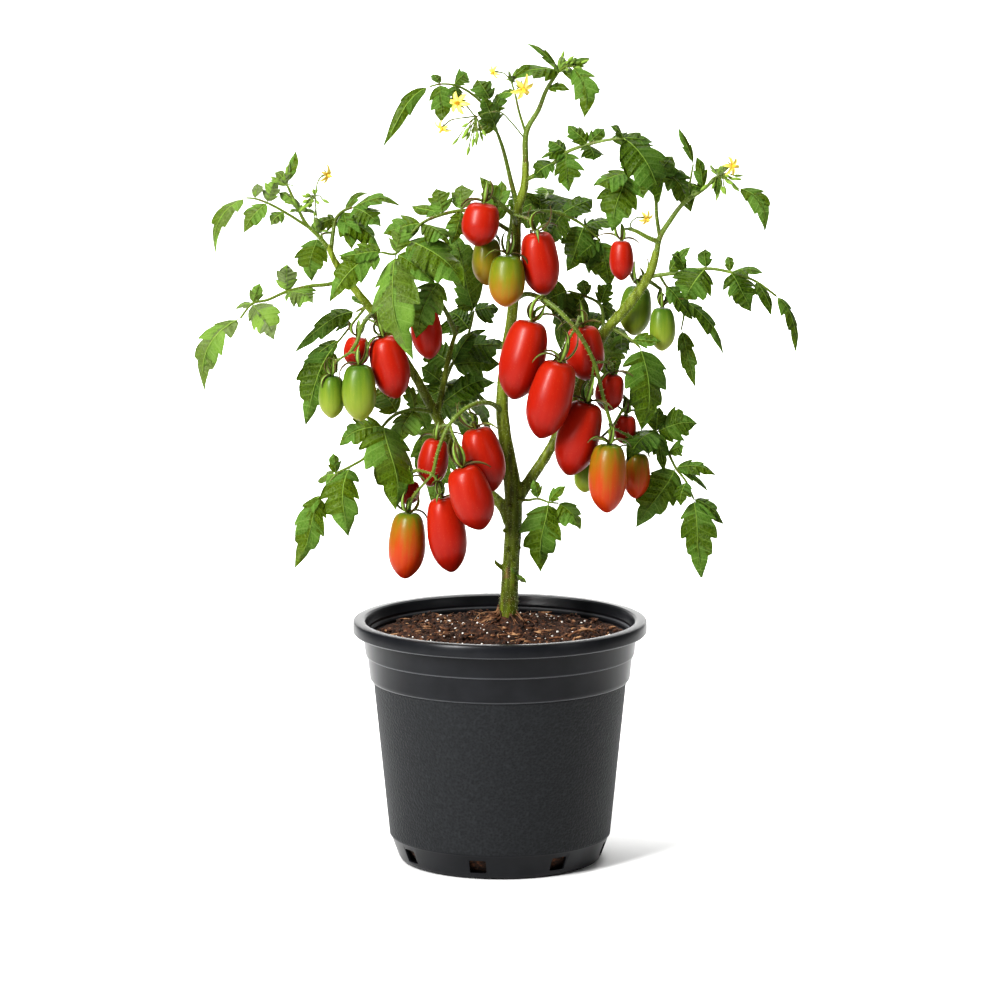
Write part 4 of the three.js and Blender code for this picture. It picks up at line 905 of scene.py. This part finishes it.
class TomatoPotSettings(bpy.types.PropertyGroup):
    rim_radius: mm_setting("Rim radius", "Outer radius of the rolled lip", 140)
    height: mm_setting("Height", "Height of the lip above the ground", 232)
    wall: mm_setting("Wall", "Thickness of the moulded wall", 3)
    segments: count_setting("Segments", "Faces round the pot", 144, 24)
    drain_holes: count_setting("Drain holes", "Notches in the foot", 8)
    rim_tone: colour_setting("Rim", "Colour of the smooth rim and collars", "#141518")
    dust_tone: colour_setting("Dust", "Colour where soil dust clings to the rim", "#1c1d20")
    # The two grain tones are painted light: painted shade in the pits, painted sheen on the tops.
    grain_pit_shade_tone: colour_setting("Grain pits", "Colour in the pits of the wall's grain", "#18191b")
    grain_top_sheen_tone: colour_setting("Grain tops", "Colour on top of the wall's grain", "#26282a")


class TomatoSoilSettings(bpy.types.PropertyGroup):
    edge: mm_setting("Edge height", "Height of the soil where it meets the pot", 216)
    mound: mm_setting("Mound", "Rise of the soil towards the stem", 12)
    roughness: mm_setting("Roughness", "Height of the clods", 9)
    crumbs: count_setting("Crumbs", "Loose crumbs on the soil", 2200)
    slivers: count_setting("Slivers", "Bark slivers and fibres", 360)
    roots: count_setting("Roots", "Fine roots round the stem", 34)
    grains: count_setting("Perlite", "White perlite grains", 170)


class TomatoStemSettings(bpy.types.PropertyGroup):
    voxel: mm_setting("Voxel", "Cell size used to grow the branches together", 1.0)
    deep_tone: colour_setting("Deep green", "Colour in the grooves of the skin", "#3a3e07")
    green_tone: colour_setting("Green", "Colour of the skin", "#525d0c")
    pale_tone: colour_setting("Pale green", "Colour of the streaks", "#7c8b2e")
    hairs: count_setting("Hairs", "Fine hairs on stem and stalks", 16000)
    hair_length: mm_setting("Hair length", "Usual length of a hair", 1.5)
    hair_width: mm_setting("Hair width", "Width of a hair at its root", 0.3)


class TomatoLeafSettings(bpy.types.PropertyGroup):
    fullness: number_setting("Fullness", "Width of a leaflet against the table's", 1.46, 3)
    lobing: number_setting("Lobing", "Depth of the notches between lobes", 0.46)
    thickness: mm_setting("Thickness", "Thickness of a blade", 0.45)
    # The deep tone is old leaves and also painted shade on the leaves at the right; the pale grey tone is young
    # leaves and also a painted sheen on the leaves at the left.
    deep_tone: colour_setting("Deep green", "Upper side of an old leaflet", "#263a00")
    mid_tone: colour_setting("Green", "Upper side of a leaflet", "#415604")
    pale_tone: colour_setting("Young green", "Upper side of a young leaflet", "#727b5c")


class TomatoFruitSettings(bpy.types.PropertyGroup):
    segments: count_setting("Segments", "Faces round a fruit", 44, 12)
    rings: count_setting("Rings", "Faces along a fruit", 32, 8)
    dimple: number_setting("Dimple", "Depth of the shoulder's dimple as a share of the length", 0.03)
    lobing: number_setting("Lobing", "Height of the soft ribs of the shoulder", 0.025)


class TomatoFlowerSettings(bpy.types.PropertyGroup):
    petals: count_setting("Petals", "Petals of a flower", 6, 3)
    petal_tone: colour_setting("Petal", "Colour of the petals", "#e8cd45")
    cone_tone: colour_setting("Cone", "Colour of the anther cone", "#e6a21c")


class TomatoStageSettings(bpy.types.PropertyGroup):
    floor_tone: colour_setting("Floor", "Colour of the floor and backdrop", "#ececeb")
    key_power: power_setting("Key light", "Power of the soft key light", 180)
    fill_power: power_setting("Fill light", "Power of the fill light", 7)
    wall_power: power_setting("Wall light", "Power of the light on the backdrop", 170)
    sky: number_setting("Sky", "Strength of the even studio light", 0.14, 5)


GROUPS = {"pot": TomatoPotSettings, "soil": TomatoSoilSettings, "stem": TomatoStemSettings,
          "leaf": TomatoLeafSettings, "fruit": TomatoFruitSettings, "flower": TomatoFlowerSettings,
          "stage": TomatoStageSettings}


class TOMATO_OT_pot(bpy.types.Operator):
    """Moulds the pot: foot, tapered wall, stepped collars, rolled lip, inner ribs and drain notches"""
    bl_idname = "tomato.pot"
    bl_label = "Pot"
    bl_options = {"REGISTER", "UNDO"}

    def execute(self, context):
        settings = context.scene.tomato_pot
        radius, height, wall = (v / MM for v in (settings.rim_radius, settings.height, settings.wall))
        # Four ribs run round the inside of the rim, each a little lower and narrower than the last.
        ribs = [(r - 1.6 * i, z - 5.2 * i) for i in range(4)
                for r, z in ((126.6, 224), (125.7, 222.8), (125.7, 221.6), (126.1, 220.4))]
        # Radius and height of the wall, up its outside, over the lip and down its inside
        outline = [(91, 0), (95.5, 1.5), (97.5, 5), (104.2, 23), (105.6, PANEL_FOOT), (120.6, PANEL_TOP),
                   (122.6, 174.3), (123.9, 176.2), (124.3, 178.5), (126.4, 198), (127.8, 198.6),
                   (128.5, 200.5), (130.5, 219.5), (radius - 1.2, 219.5), (radius, 221),
                   (radius, height - 2.5), (radius - 0.8, height - 0.7), (radius - 2.2, height),
                   (radius - 9.5, height), (radius - 11.4, height - 1.2), (127.5, 228), *ribs,
                   (120.6 - wall, PANEL_TOP), (105.6 - wall, PANEL_FOOT), (94.5, 5)]
        clear_selection()
        bpy.ops.mesh.primitive_circle_add(vertices=settings.segments, radius=outline[0][0] * MM,
                                          fill_type="NGON")
        made = context.object
        bpy.ops.object.mode_set(mode="EDIT")
        bpy.ops.mesh.select_all(action="SELECT")
        for (r0, z0), (r1, z1) in zip(outline, outline[1:]):
            draw_out(r1 / r0, z0, z1)
        leave_editing()
        notches = []
        for i in range(settings.drain_holes):
            turn = math.radians(33 + 360 * i / settings.drain_holes)
            clear_selection()
            bpy.ops.mesh.primitive_cube_add(
                size=1, location=(98 * MM * math.sin(turn), -98 * MM * math.cos(turn), 13 * MM),
                rotation=(0, 0, turn), scale=(16 * MM, 12 * MM, 13 * MM))
            settle(context.object)
            apply_modifier(context.object, "BEVEL", width=1.5 * MM, segments=3)
            notches.append(context.object)
        for notch in notches:
            apply_modifier(made, "BOOLEAN", operation="DIFFERENCE", object=notch, solver="EXACT")
            bpy.data.objects.remove(notch)
        apply_modifier(made, "BEVEL", width=0.7 * MM, segments=2, limit_method="ANGLE",
                       angle_limit=math.radians(28), use_clamp_overlap=True)
        take(made)
        bpy.ops.object.shade_smooth_by_angle(angle=math.radians(38))
        made.data.materials.append(pot_material(settings))
        seat(made, "moulded_pot", "pot_plastic", "pot")
        return {"FINISHED"}


def soil_height(x, y, settings):
    """Height of the soil in mm at a place: a low mound with clods, rising to the stem's foot."""
    edge, mound, rough = (v / MM for v in (settings.edge, settings.mound, settings.roughness))
    reach = math.hypot(x, y)
    clods = noise.fractal(Vector((x, y, 3.7)) / 17, 1.0, 2.1, 3)
    crumbs = noise.fractal(Vector((x, y, 9.1)) / 4.2, 0.8, 2.1, 3)
    foot = 12 * math.exp(-((x - STEM_X) ** 2 + y ** 2) / 560)
    calm = min(1.0, max(0.15, (122 - reach) / 14))
    relief = calm * (0.55 * rough * clods + 0.35 * rough * crumbs)
    return edge - 1 + mound * max(0, 1 - reach / 123) + foot + relief


def scatter(growth, shape, faces, place, size, draw):
    """Lays one small turned copy of a shape at a place."""
    turn = Matrix.Rotation(6.3 * draw.random(), 3, "Z")
    for axis in "XY":
        turn = turn @ Matrix.Rotation(0.9 * (draw.random() - 0.5), 3, axis)
    points = (shape * size * (0.75 + 0.5 * draw.random((len(shape), 1)))) @ np.array(turn).T
    growth.add(points + place, faces)


def on_soil(draw, settings, lift, reach=112):
    """A random place on the soil, lifted a little, and not inside the stem."""
    while True:
        x, y = reach * (2 * draw.random(2) - 1)
        if math.hypot(x, y) < reach and math.hypot(x - STEM_X, y) > 11:
            return np.array((x, y, soil_height(x, y, settings) + lift))


class TOMATO_OT_soil(bpy.types.Operator):
    """Fills the pot with compost: a cloddy mound, crumbs, bark slivers, fibres and perlite"""
    bl_idname = "tomato.soil"
    bl_label = "Soil"
    bl_options = {"REGISTER", "UNDO"}

    def execute(self, context):
        settings = context.scene.tomato_soil
        clear_selection()
        bpy.ops.mesh.primitive_grid_add(x_subdivisions=210, y_subdivisions=210, size=2 * MM)
        made = context.object
        square = coordinates(made)
        # The square grid is pressed into a disc, whose edge is then drawn down the inside of the pot.
        rim, level = 123.2, 215
        x = rim * square[:, 0] * np.sqrt(1 - square[:, 1] ** 2 / 2)
        y = rim * square[:, 1] * np.sqrt(1 - square[:, 0] ** 2 / 2)
        move_to(made, np.stack([x, y, [soil_height(a, b, settings) for a, b in zip(x, y)]], 1))
        bpy.ops.object.mode_set(mode="EDIT")
        bpy.ops.mesh.select_all(action="SELECT")
        bpy.ops.mesh.region_to_loop()
        for radius, lower in ((120.4, 208), (116.3, 173), (99.5, 20.5), (89, 5.4)):
            draw_out(radius / rim, level, lower)
            rim, level = radius, lower
        bpy.ops.mesh.edge_face_add()
        leave_editing()
        take(made)
        bpy.ops.object.shade_smooth()
        # Moist peat compost: dark, matt and crumbly, a little redder where it has dried.
        peat = mottled("peat_compost", [(0.32, "#100803"), (0.5, "#2f190a"), (0.68, "#5a361f")], 4, 0.95, 1.6)
        made.data.materials.append(peat)
        seat(made, "compost_bed", "compost", "soil")
        clear_selection()
        bpy.ops.mesh.primitive_ico_sphere_add(subdivisions=1, radius=1 * MM)
        pebble = context.object
        shape, faces = coordinates(pebble), [tuple(p.vertices) for p in pebble.data.polygons]
        bpy.data.objects.remove(pebble)
        draw = np.random.default_rng(5)
        crumbs, grains, bark = Growth(), Growth(), Growth()
        for _ in range(settings.crumbs):
            size = (0.8 + 2.6 * draw.random() ** 2.5) * np.array((1, 0.85, 0.7))
            scatter(crumbs, shape, faces, on_soil(draw, settings, 0.4, 116), size, draw)
        for _ in range(settings.grains):
            size = (0.7 + 0.9 * draw.random()) * np.array((1, 0.9, 0.8))
            scatter(grains, shape, faces, on_soil(draw, settings, 0.9), size, draw)
        for i in range(settings.slivers):
            at, turn, tilt = on_soil(draw, settings, 1.3), 6.3 * draw.random(), 0.35 * (draw.random() - 0.5)
            reach = (4 + 12 * draw.random() ** 2) * (1 if i % 3 else 1.5)
            way = np.array((math.cos(turn), math.sin(turn), tilt))
            bend = np.array((-way[1], way[0], 0.2)) * reach * 0.3 * (draw.random() - 0.5)
            thick = (0.35 + 0.3 * draw.random()) if i % 3 == 0 else (0.7 + 1.1 * draw.random())
            path = [at - way * reach / 2, at + bend, at + way * reach / 2]
            tube(bark, path, [thick * 0.5, thick, thick * 0.4], 4, 2, 0, draw.random())
        # Two twigs arch out of the soil at the right.
        tube(bark, [(58, -38, 216), (70, -30, 224), (84, -24, 226), (97, -14, 217)], [1.5, 1.3, 0.9], 6)
        tube(bark, [(66, -44, 215), (74, -30, 223), (80, -14, 225), (84, -2, 216)], [1.2, 1.1, 0.7], 6)
        for _ in range(settings.roots):
            turn, far = 6.3 * draw.random(), 16 + 20 * draw.random()
            out = np.array((math.cos(turn), math.sin(turn), 0))
            aside = np.array((-out[1], out[0], 0)) * 8 * (draw.random() - 0.5)
            lift = 3 * draw.random()
            path = [np.array((STEM_X, 0, 0)) + reach * out + share * aside for reach, share in
                    ((8.5, 0), (11, 0.4), (0.55 * far + 6, 1), (far, 0.3))]
            path = [np.array((x, y, soil_height(x, y, settings) + rise)) for (x, y, _), rise in
                    zip(path, (1 + 2 * lift, 1 + lift, 0.6 + lift, -0.5))]
            tube(bark, path, [0.5, 0.45, 0.3], 5, 3, 0, draw.random())
        seat(crumbs.make("crumbs", [peat]), "compost_crumbs", "compost")
        # Composted bark and coir: pale brown and fibrous, silvery where it has weathered.
        bark_skin = mottled("composted_bark", [(0.32, "#3a2212"), (0.48, "#6b452a"), (0.68, "#b48d66")],
                            9, 0.85, 0.5)
        seat(bark.make("bark", [bark_skin]), "bark_slivers", "compost")
        # Expanded perlite: chalky white glass foam.
        perlite = mottled("expanded_perlite", [(0.3, "#c9c4ba"), (0.6, "#f1eee8")], 1.2, 0.9, 0.4)
        seat(grains.make("grains", [perlite]), "perlite_grains", "compost")
        return {"FINISHED"}


def leafy_materials(settings):
    """The four skins of a leafy piece: blade above, blade below, rachis and sepal."""
    known = bpy.data.materials
    if "tomato_leaf_upper" not in known:
        # A leaf's upper side is waxed and deep green, its underside dull, grey and paler.
        leaf_material("tomato_leaf_upper", settings.deep_tone, settings.mid_tone, settings.pale_tone,
                      "#6f8c38", 0.4, 0.8)
        leaf_material("tomato_leaf_under", "#33500f", "#4b6c22", "#7d993e", "#7f9a4e", 0.62, -0.5)
        # A young stalk is juicy and pale green, a little brown where it has rubbed.
        mottled("tomato_green_stalk",
                [(0.32, "#5c4622"), (0.42, "#56661e"), (0.6, "#586c1c"), (0.75, "#7c9040")], 9, 0.45, 0.25,
                (1, 1, 0.5), Specular_IOR_Level=0.3, Subsurface_Weight=0.06, Subsurface_Scale=0.001)
        # A sepal is a thin green strip with a pale keel and a brown edge; the brown edge is painted backlight,
        # standing in for the yellow-brown rim that light from behind gives it.
        made, tree = start_material("tomato_sepal", Roughness=0.5, Specular_IOR_Level=0.3)
        split = add(tree, "SeparateXYZ", {0: add(tree, "UVMap", uv_map="grown")})
        aside = add(tree, "Math", {0: split.outputs[1]}, operation="ABSOLUTE")
        worn = add(tree, "TexNoise", {"Vector": add(tree, "TexCoord").outputs["Object"], "Scale": 1 / (4 * MM)})
        edge = add(tree, "Math", {0: worn, 1: 0.5, 2: aside}, operation="MULTIPLY_ADD")
        ramp = add(tree, "ValToRGB", {"Fac": edge},
                   [(0.3, "#86a048"), (0.65, "#56741f"), (0.9, "#3d4c12"), (1.0, "#4f3d1a")])
        dress(made, ramp.outputs[0])
    return [known[n] for n in ("tomato_leaf_upper", "tomato_leaf_under", "tomato_green_stalk", "tomato_sepal")]


class TOMATO_OT_stem(bpy.types.Operator):
    """Grows trunk and branches into one body with scars and pruned stubs"""
    bl_idname = "tomato.stem"
    bl_label = "Stem"
    bl_options = {"REGISTER", "UNDO"}

    def execute(self, context):
        settings = context.scene.tomato_stem
        growth = Growth()
        for path, radii in STEMS:
            tube(growth, path, radii, 18, 8)
        for (x, y, z), size in TRUNK_BUMPS:
            path = [(x - size, y, z), (x, y, z + 0.4), (x + size, y, z)]
            tube(growth, path, [size * 0.4, size, size * 0.4], 8, 3)
        made = growth.make("stem", [stem_material(settings)])
        apply_modifier(made, "REMESH", mode="VOXEL", voxel_size=settings.voxel, use_smooth_shade=True)
        apply_modifier(made, "SMOOTH", factor=0.5, iterations=5)
        points = coordinates(made)
        normals = np.empty(len(points) * 3)
        made.data.vertices.foreach_get("normal", normals)
        swell = [noise.fractal(Vector((x / 3, y / 3, z / 22)), 0.9, 2.0, 2) for x, y, z in points]
        move_to(made, points + normals.reshape(-1, 3) * 0.35 * np.array(swell)[:, None])
        take(made)
        bpy.ops.object.shade_smooth()
        seat(made, "grown_stem", "stem_green", "main_stem")
        return {"FINISHED"}


class TOMATO_OT_trusses(bpy.types.Operator):
    """Grows the fruit trusses: peduncles, kneed pedicels and curling sepals"""
    bl_idname = "tomato.trusses"
    bl_label = "Trusses"
    bl_options = {"REGISTER", "UNDO"}

    def execute(self, context):
        skins = leafy_materials(context.scene.tomato_leaf)
        for i, truss in enumerate(TRUSSES):
            if "on" in truss:
                continue
            growth = Growth()
            truss_growth(growth, truss, 40 + 100 * i)
            seat(growth.make(truss["name"], skins), "grown_" + truss["name"], "stem_green", truss["name"])
        return {"FINISHED"}


class TOMATO_OT_leaves(bpy.types.Operator):
    """Grows every leaf and leafy shoot from the leaf table"""
    bl_idname = "tomato.leaves"
    bl_label = "Leaves"
    bl_options = {"REGISTER", "UNDO"}

    def execute(self, context):
        settings = context.scene.tomato_leaf
        skins = leafy_materials(settings)
        for i, leaf in enumerate(LEAVES):
            growth = Growth()
            # Every frond, bud, tuft and bunch has a seed of its own, counted from its leaf's.
            for j, spec in enumerate(leaf["fronds"]):
                frond(growth, spec, leaf.get("facing", FRONT), 1000 * i + 100 * j, leaf.get("tint", 0.08),
                      settings)
            for path in leaf.get("stalks", ()):
                stalk(growth, path)
            for j, (start, tip) in enumerate(leaf.get("buds", ())):
                bud(growth, start, tip, 1000 * i + 900 + j)
            for j, (at, way, count, reach) in enumerate(leaf.get("tufts", ())):
                tuft(growth, at, way, count, reach, 1000 * i + 950 + j, settings)
            for j, (at, way, count, reach) in enumerate(leaf.get("bunches", ())):
                bunch(growth, at, way, count, reach, 1000 * i + 970 + j)
            for truss in TRUSSES:
                if truss.get("on") == leaf["name"]:
                    truss_growth(growth, truss, 77)
            seat(growth.make(leaf["name"], skins), "grown_" + leaf["name"], "leaf_green", leaf["name"])
        return {"FINISHED"}


class TOMATO_OT_hairs(bpy.types.Operator):
    """Covers stem, trusses and leaf stalks with fine hairs, each a thin closed spike"""
    bl_idname = "tomato.hairs"
    bl_label = "Hairs"
    bl_options = {"REGISTER", "UNDO"}

    def execute(self, context):
        settings = context.scene.tomato_stem
        centres, ways, chances = [], [], []
        for name, finish in ([("stem", 0)] + [(t["name"], STALK) for t in TRUSSES if "on" not in t]
                             + [(leaf["name"], STALK) for leaf in LEAVES]):
            faces = bpy.data.objects["grown_" + name].data.polygons
            found = {kind: np.empty(len(faces) * size) for kind, size in
                     (("center", 3), ("normal", 3), ("area", 1), ("material_index", 1))}
            for kind, values in found.items():
                faces.foreach_get(kind, values)
            middle = found["center"].reshape(-1, 3) / MM
            centres.append(middle)
            ways.append(found["normal"].reshape(-1, 3))
            above_soil = middle[:, 2] > 238
            chances.append(found["area"] * (found["material_index"] == finish) * above_soil)
        centres, ways, chances = np.vstack(centres), np.vstack(ways), np.concatenate(chances)
        draw = np.random.default_rng(11)
        picked = draw.choice(len(centres), settings.hairs, p=chances / chances.sum())
        root, way = centres[picked], ways[picked] + 0.5 * (2 * draw.random((settings.hairs, 3)) - 1)
        first = np.cross(way, (0.2, 0.97, 0.13))
        first /= np.linalg.norm(first, axis=1)[:, None]
        second = np.cross(way, first)
        thick, reach = settings.hair_width / MM / 2, settings.hair_length / MM
        foot = [root - 0.2 * way + thick * (math.cos(turn) * first + math.sin(turn) * second)
                for turn in (0, 2.1, 4.2)]
        points = np.stack(foot + [root + reach * (0.5 + draw.random((settings.hairs, 1))) * way], 1)
        faces = [(4 * i + a, 4 * i + b, 4 * i + c) for i in range(settings.hairs)
                 for a, b, c in ((0, 2, 1), (0, 1, 3), (1, 2, 3), (2, 0, 3))]
        growth = Growth()
        growth.add(points, faces)
        # Glandular hairs: glassy and pale, so that they light up along the edge of a stem.
        skin = mottled("tomato_hair", [(0.3, "#a9b86a"), (0.7, "#dfe8b6")], 20, 0.5, 0.01)
        seat(growth.make("hairs", [skin]), "stem_hairs", "stem_green")
        return {"FINISHED"}


def fruit_width(polar):
    """Half width of a fruit, as a share of the widest, at angles from its shoulder (0) to its tip (pi)."""
    down, widths = zip(*FRUIT_CURVE)
    fine = np.linspace(0, np.pi, 361)
    drawn = np.interp(fine, np.arccos(1 - 2 * np.array(down)), widths)
    window = np.hanning(33) / np.hanning(33).sum()
    mirrored = np.concatenate([-drawn[16:0:-1], drawn, -drawn[-2:-18:-1]])
    return np.interp(polar, fine, np.convolve(mirrored, window, "valid"))


class TOMATO_OT_fruits(bpy.types.Operator):
    """Shapes a ball into a plum fruit of its own for each calyx"""
    bl_idname = "tomato.fruits"
    bl_label = "Fruits"
    bl_options = {"REGISTER", "UNDO"}

    def execute(self, context):
        settings = context.scene.tomato_fruit
        clear_selection()
        bpy.ops.mesh.primitive_uv_sphere_add(segments=settings.segments, ring_count=settings.rings,
                                             radius=1 * MM)
        model = context.object
        bpy.ops.object.shade_smooth()
        ball = coordinates(model)
        skins = {name: fruit_material("tomato_skin_" + name, stops) for name, stops in RIPENESS.items()}
        turn, polar = np.arctan2(ball[:, 1], ball[:, 0]), np.arccos(np.clip(ball[:, 2], -1, 1))
        upper = polar < np.pi / 2
        down = (1 - np.cos(polar)) / 2
        half = fruit_width(polar)
        shoulder = np.clip(1.6 - 1.6 * polar / (np.pi / 2), 0, 1)
        for i, truss in enumerate(TRUSSES):
            for j, (_, top, tip, width, ripe) in enumerate(truss["fruits"]):
                draw = np.random.default_rng(300 + 20 * i + j)
                top, tip = np.array(top, float), np.array(tip, float)
                reach = np.linalg.norm(top - tip)
                wide = width / 2
                lobes = 1 + settings.lobing * shoulder * np.cos(3 * turn + 6 * draw.random())
                lobes = lobes + 0.6 * settings.lobing * np.sin(polar) * np.cos(4 * turn + 6 * draw.random())
                radius = wide * half * lobes * (1 + 0.015 * np.cos(2 * turn + 6 * draw.random()))
                radius = radius * (1 - 0.06 * shoulder * draw.random())
                z = -reach * down - settings.dimple * reach * np.exp(-(radius / (0.3 * wide)) ** 2) * upper
                bow = 0.035 * wide * (1 - (2 * down - 1) ** 2) * (2 * draw.random(2) - 1)[:, None]
                up = unit(top - tip)
                first, second = frame_of(up)
                local = np.stack([radius * np.cos(turn) + bow[0], radius * np.sin(turn) + bow[1], z], 1)
                made = bpy.data.objects.new("fruit", model.data.copy())
                context.scene.collection.objects.link(made)
                move_to(made, top + local @ np.stack([first, second, up]))
                made.data.materials.append(skins[ripe])
                node = f"{truss['name'].replace('truss', 'fruit')}_{j + 1}"
                seat(made, "grown_" + node, FRUIT_SLOTS[ripe], node)
        bpy.data.objects.remove(model)
        return {"FINISHED"}


class TOMATO_OT_flowers(bpy.types.Operator):
    """Opens a yellow flower at the end of each flower stalk"""
    bl_idname = "tomato.flowers"
    bl_label = "Flowers"
    bl_options = {"REGISTER", "UNDO"}

    def execute(self, context):
        settings = context.scene.tomato_flower
        # A petal is thin, matt and clear yellow, the anther cone a deeper, waxy gold.
        petal = mottled("tomato_petal", [(0.35, settings.petal_tone), (0.7, "#f4e384")], 3, 0.5, 0.1,
                        Subsurface_Weight=0.15, Subsurface_Scale=0.001)
        cone = mottled("tomato_anther_cone", [(0.35, settings.cone_tone), (0.7, "#f2bd3a")], 1.5, 0.4, 0.15)
        skins = [petal, leafy_materials(context.scene.tomato_leaf)[SEPAL], cone]
        petal_skin, sepal_skin, cone_skin = range(3)
        for i, (name, at, facing, size) in enumerate(FLOWERS):
            draw = np.random.default_rng(70 + i)
            growth = Growth()
            way = unit(np.array(facing, float))
            first, second = frame_of(way)
            centre = np.array(at, float) + 0.9 * way
            for j in range(settings.petals):
                turn = 2 * math.pi * (j + 0.25 * (draw.random() - 0.5)) / settings.petals
                out = math.cos(turn) * first + math.sin(turn) * second
                curl = (0.25 + 0.2 * draw.random(), -0.9 - 0.7 * draw.random())
                sepal(growth, centre + 0.7 * out, out, way, size * (0.98 + 0.25 * draw.random()), 0.38 * size,
                      curl, petal_skin, 0.5)
                aside = math.cos(turn + 0.5) * first + math.sin(turn + 0.5) * second
                sepal(growth, centre - 0.5 * way + 0.6 * aside, aside, way, size * 0.75, 0.14 * size,
                      (-0.1, -0.7), sepal_skin, 0.5)
            cone_path = [centre + part * size * way for part in (0, 0.25, 0.55, 0.75)]
            cone_radii = [part * size for part in (0.1, 0.17, 0.13, 0.03)]
            tube(growth, cone_path, cone_radii, 15, 3, cone_skin, ribs=0.12)
            tube(growth, [centre - 1.6 * way, centre], [0.8, 1.3], 8, 2, sepal_skin)
            seat(growth.make(name, skins), "grown_" + name, "petal_yellow", name)
        return {"FINISHED"}


class TOMATO_OT_stage(bpy.types.Operator):
    """Lays the pale floor and sets the studio lights and the camera"""
    bl_idname = "tomato.stage"
    bl_label = "Stage"
    bl_options = {"REGISTER", "UNDO"}

    def execute(self, context):
        settings = context.scene.tomato_stage
        clear_selection()
        bpy.ops.mesh.primitive_plane_add(size=2)
        floor = context.object
        # The floor is 24 m wide, from 14 m before the plant to 6.2 m behind it, so that a view from
        # behind stays clear of the wall that it then sweeps up into.
        move_to(floor, coordinates(floor) * np.array((12, 10.1, 1)) + np.array((0, -3900, -0.2)))
        bpy.ops.object.mode_set(mode="EDIT")
        bpy.ops.mesh.select_all(action="DESELECT")
        mesh = bmesh.from_edit_mesh(floor.data)
        for edge in mesh.edges:
            edge.select_set(all(v.co.y > 0 for v in edge.verts))
        bmesh.update_edit_mesh(floor.data)
        steps, step = 10, 0.16
        for i in range(steps):
            turn = math.radians(90 / steps * (i + 0.5))
            bpy.ops.mesh.extrude_region_move(TRANSFORM_OT_translate={
                "value": (0, step * math.cos(turn), step * math.sin(turn))})
        bpy.ops.mesh.extrude_region_move(TRANSFORM_OT_translate={"value": (0, 0, 3)})
        bpy.ops.object.mode_set(mode="OBJECT")
        take(floor)
        bpy.ops.object.shade_smooth()
        floor.name = "studio_floor"
        # Matt studio paper: an even, slightly warm white with almost no tooth.
        floor.data.materials.append(mottled("studio_paper", [(0.3, "#e9e9e8"), (0.7, settings.floor_tone)],
                                            40, 0.9, 0.02))
        # Each soft lamp: its power, width, height, place and the point it is turned to, in metres
        plant = (0, 0, 0.42)
        for name, power, width, height, place, goal in (
                ("key_light", settings.key_power, 0.65, 2.0, (-1.7, -2.1, 2.0), plant),
                ("fill_light", settings.fill_power, 0.8, 1.6, (2.2, -1.6, 1.3), plant),
                ("back_light", settings.fill_power, 0.8, 1.6, (0.9, 1.7, 2.2), plant),
                ("near_floor_light", settings.wall_power, 2.2, 2.0, (0, 1.0, 2.5), (0, 3.4, 0.5)),
                ("far_floor_light", 2 * settings.wall_power, 2.6, 2.4, (0, 3.6, 2.8), (0, 6.4, 0.3))):
            bpy.ops.object.light_add(type="AREA", location=place)
            light = context.object
            light.name = name
            light.data.energy, light.data.shape = power, "RECTANGLE"
            light.data.size, light.data.size_y = width, height
            light.rotation_euler = (Vector(goal) - Vector(place)).to_track_quat("-Z", "Y").to_euler()
        world = bpy.data.worlds.new("studio_sky")
        world.use_nodes = True
        world.node_tree.nodes["Background"].inputs["Color"].default_value = (1, 1, 1, 1)
        world.node_tree.nodes["Background"].inputs["Strength"].default_value = settings.sky
        context.scene.world = world
        context.scene.view_settings.view_transform = "Standard"
        context.scene.view_settings.look = "Medium High Contrast"
        bpy.ops.object.camera_add(location=CAMERA_PLACE, rotation=(math.radians(90 - CAMERA_TILT), 0, 0))
        camera = context.object
        camera.name = "photo_camera"
        camera.data.lens, camera.data.sensor_width = CAMERA_LENS, SENSOR_WIDTH
        camera.data.clip_end = 60
        context.scene.camera = camera
        return {"FINISHED"}


class TOMATO_PT_plant(bpy.types.Panel):
    """Lists the pieces of the plant and their settings"""
    bl_idname = "TOMATO_PT_plant"
    bl_label = "Tomato Plant"
    bl_space_type = "VIEW_3D"
    bl_region_type = "UI"
    bl_category = "Tomato Plant"

    def draw(self, context):
        for name, group in GROUPS.items():
            box = self.layout.box()
            for setting in group.__annotations__:
                box.prop(getattr(context.scene, "tomato_" + name), setting)
        for step in STEPS:
            self.layout.operator(step.bl_idname)


STEPS = (TOMATO_OT_stage, TOMATO_OT_pot, TOMATO_OT_soil, TOMATO_OT_stem, TOMATO_OT_trusses, TOMATO_OT_leaves,
         TOMATO_OT_hairs, TOMATO_OT_fruits, TOMATO_OT_flowers)


def register():
    for made in (*GROUPS.values(), *STEPS, TOMATO_PT_plant):
        bpy.utils.register_class(made)
    for name, group in GROUPS.items():
        setattr(bpy.types.Scene, "tomato_" + name, bpy.props.PointerProperty(type=group))


def unregister():
    for name in GROUPS:
        delattr(bpy.types.Scene, "tomato_" + name)
    for made in reversed((*GROUPS.values(), *STEPS, TOMATO_PT_plant)):
        bpy.utils.unregister_class(made)


def main():
    """Makes every piece in order."""
    register()
    for step in STEPS:
        getattr(bpy.ops.tomato, step.bl_idname.split(".")[1])()
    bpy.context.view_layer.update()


if __name__ == "__main__":
    main()
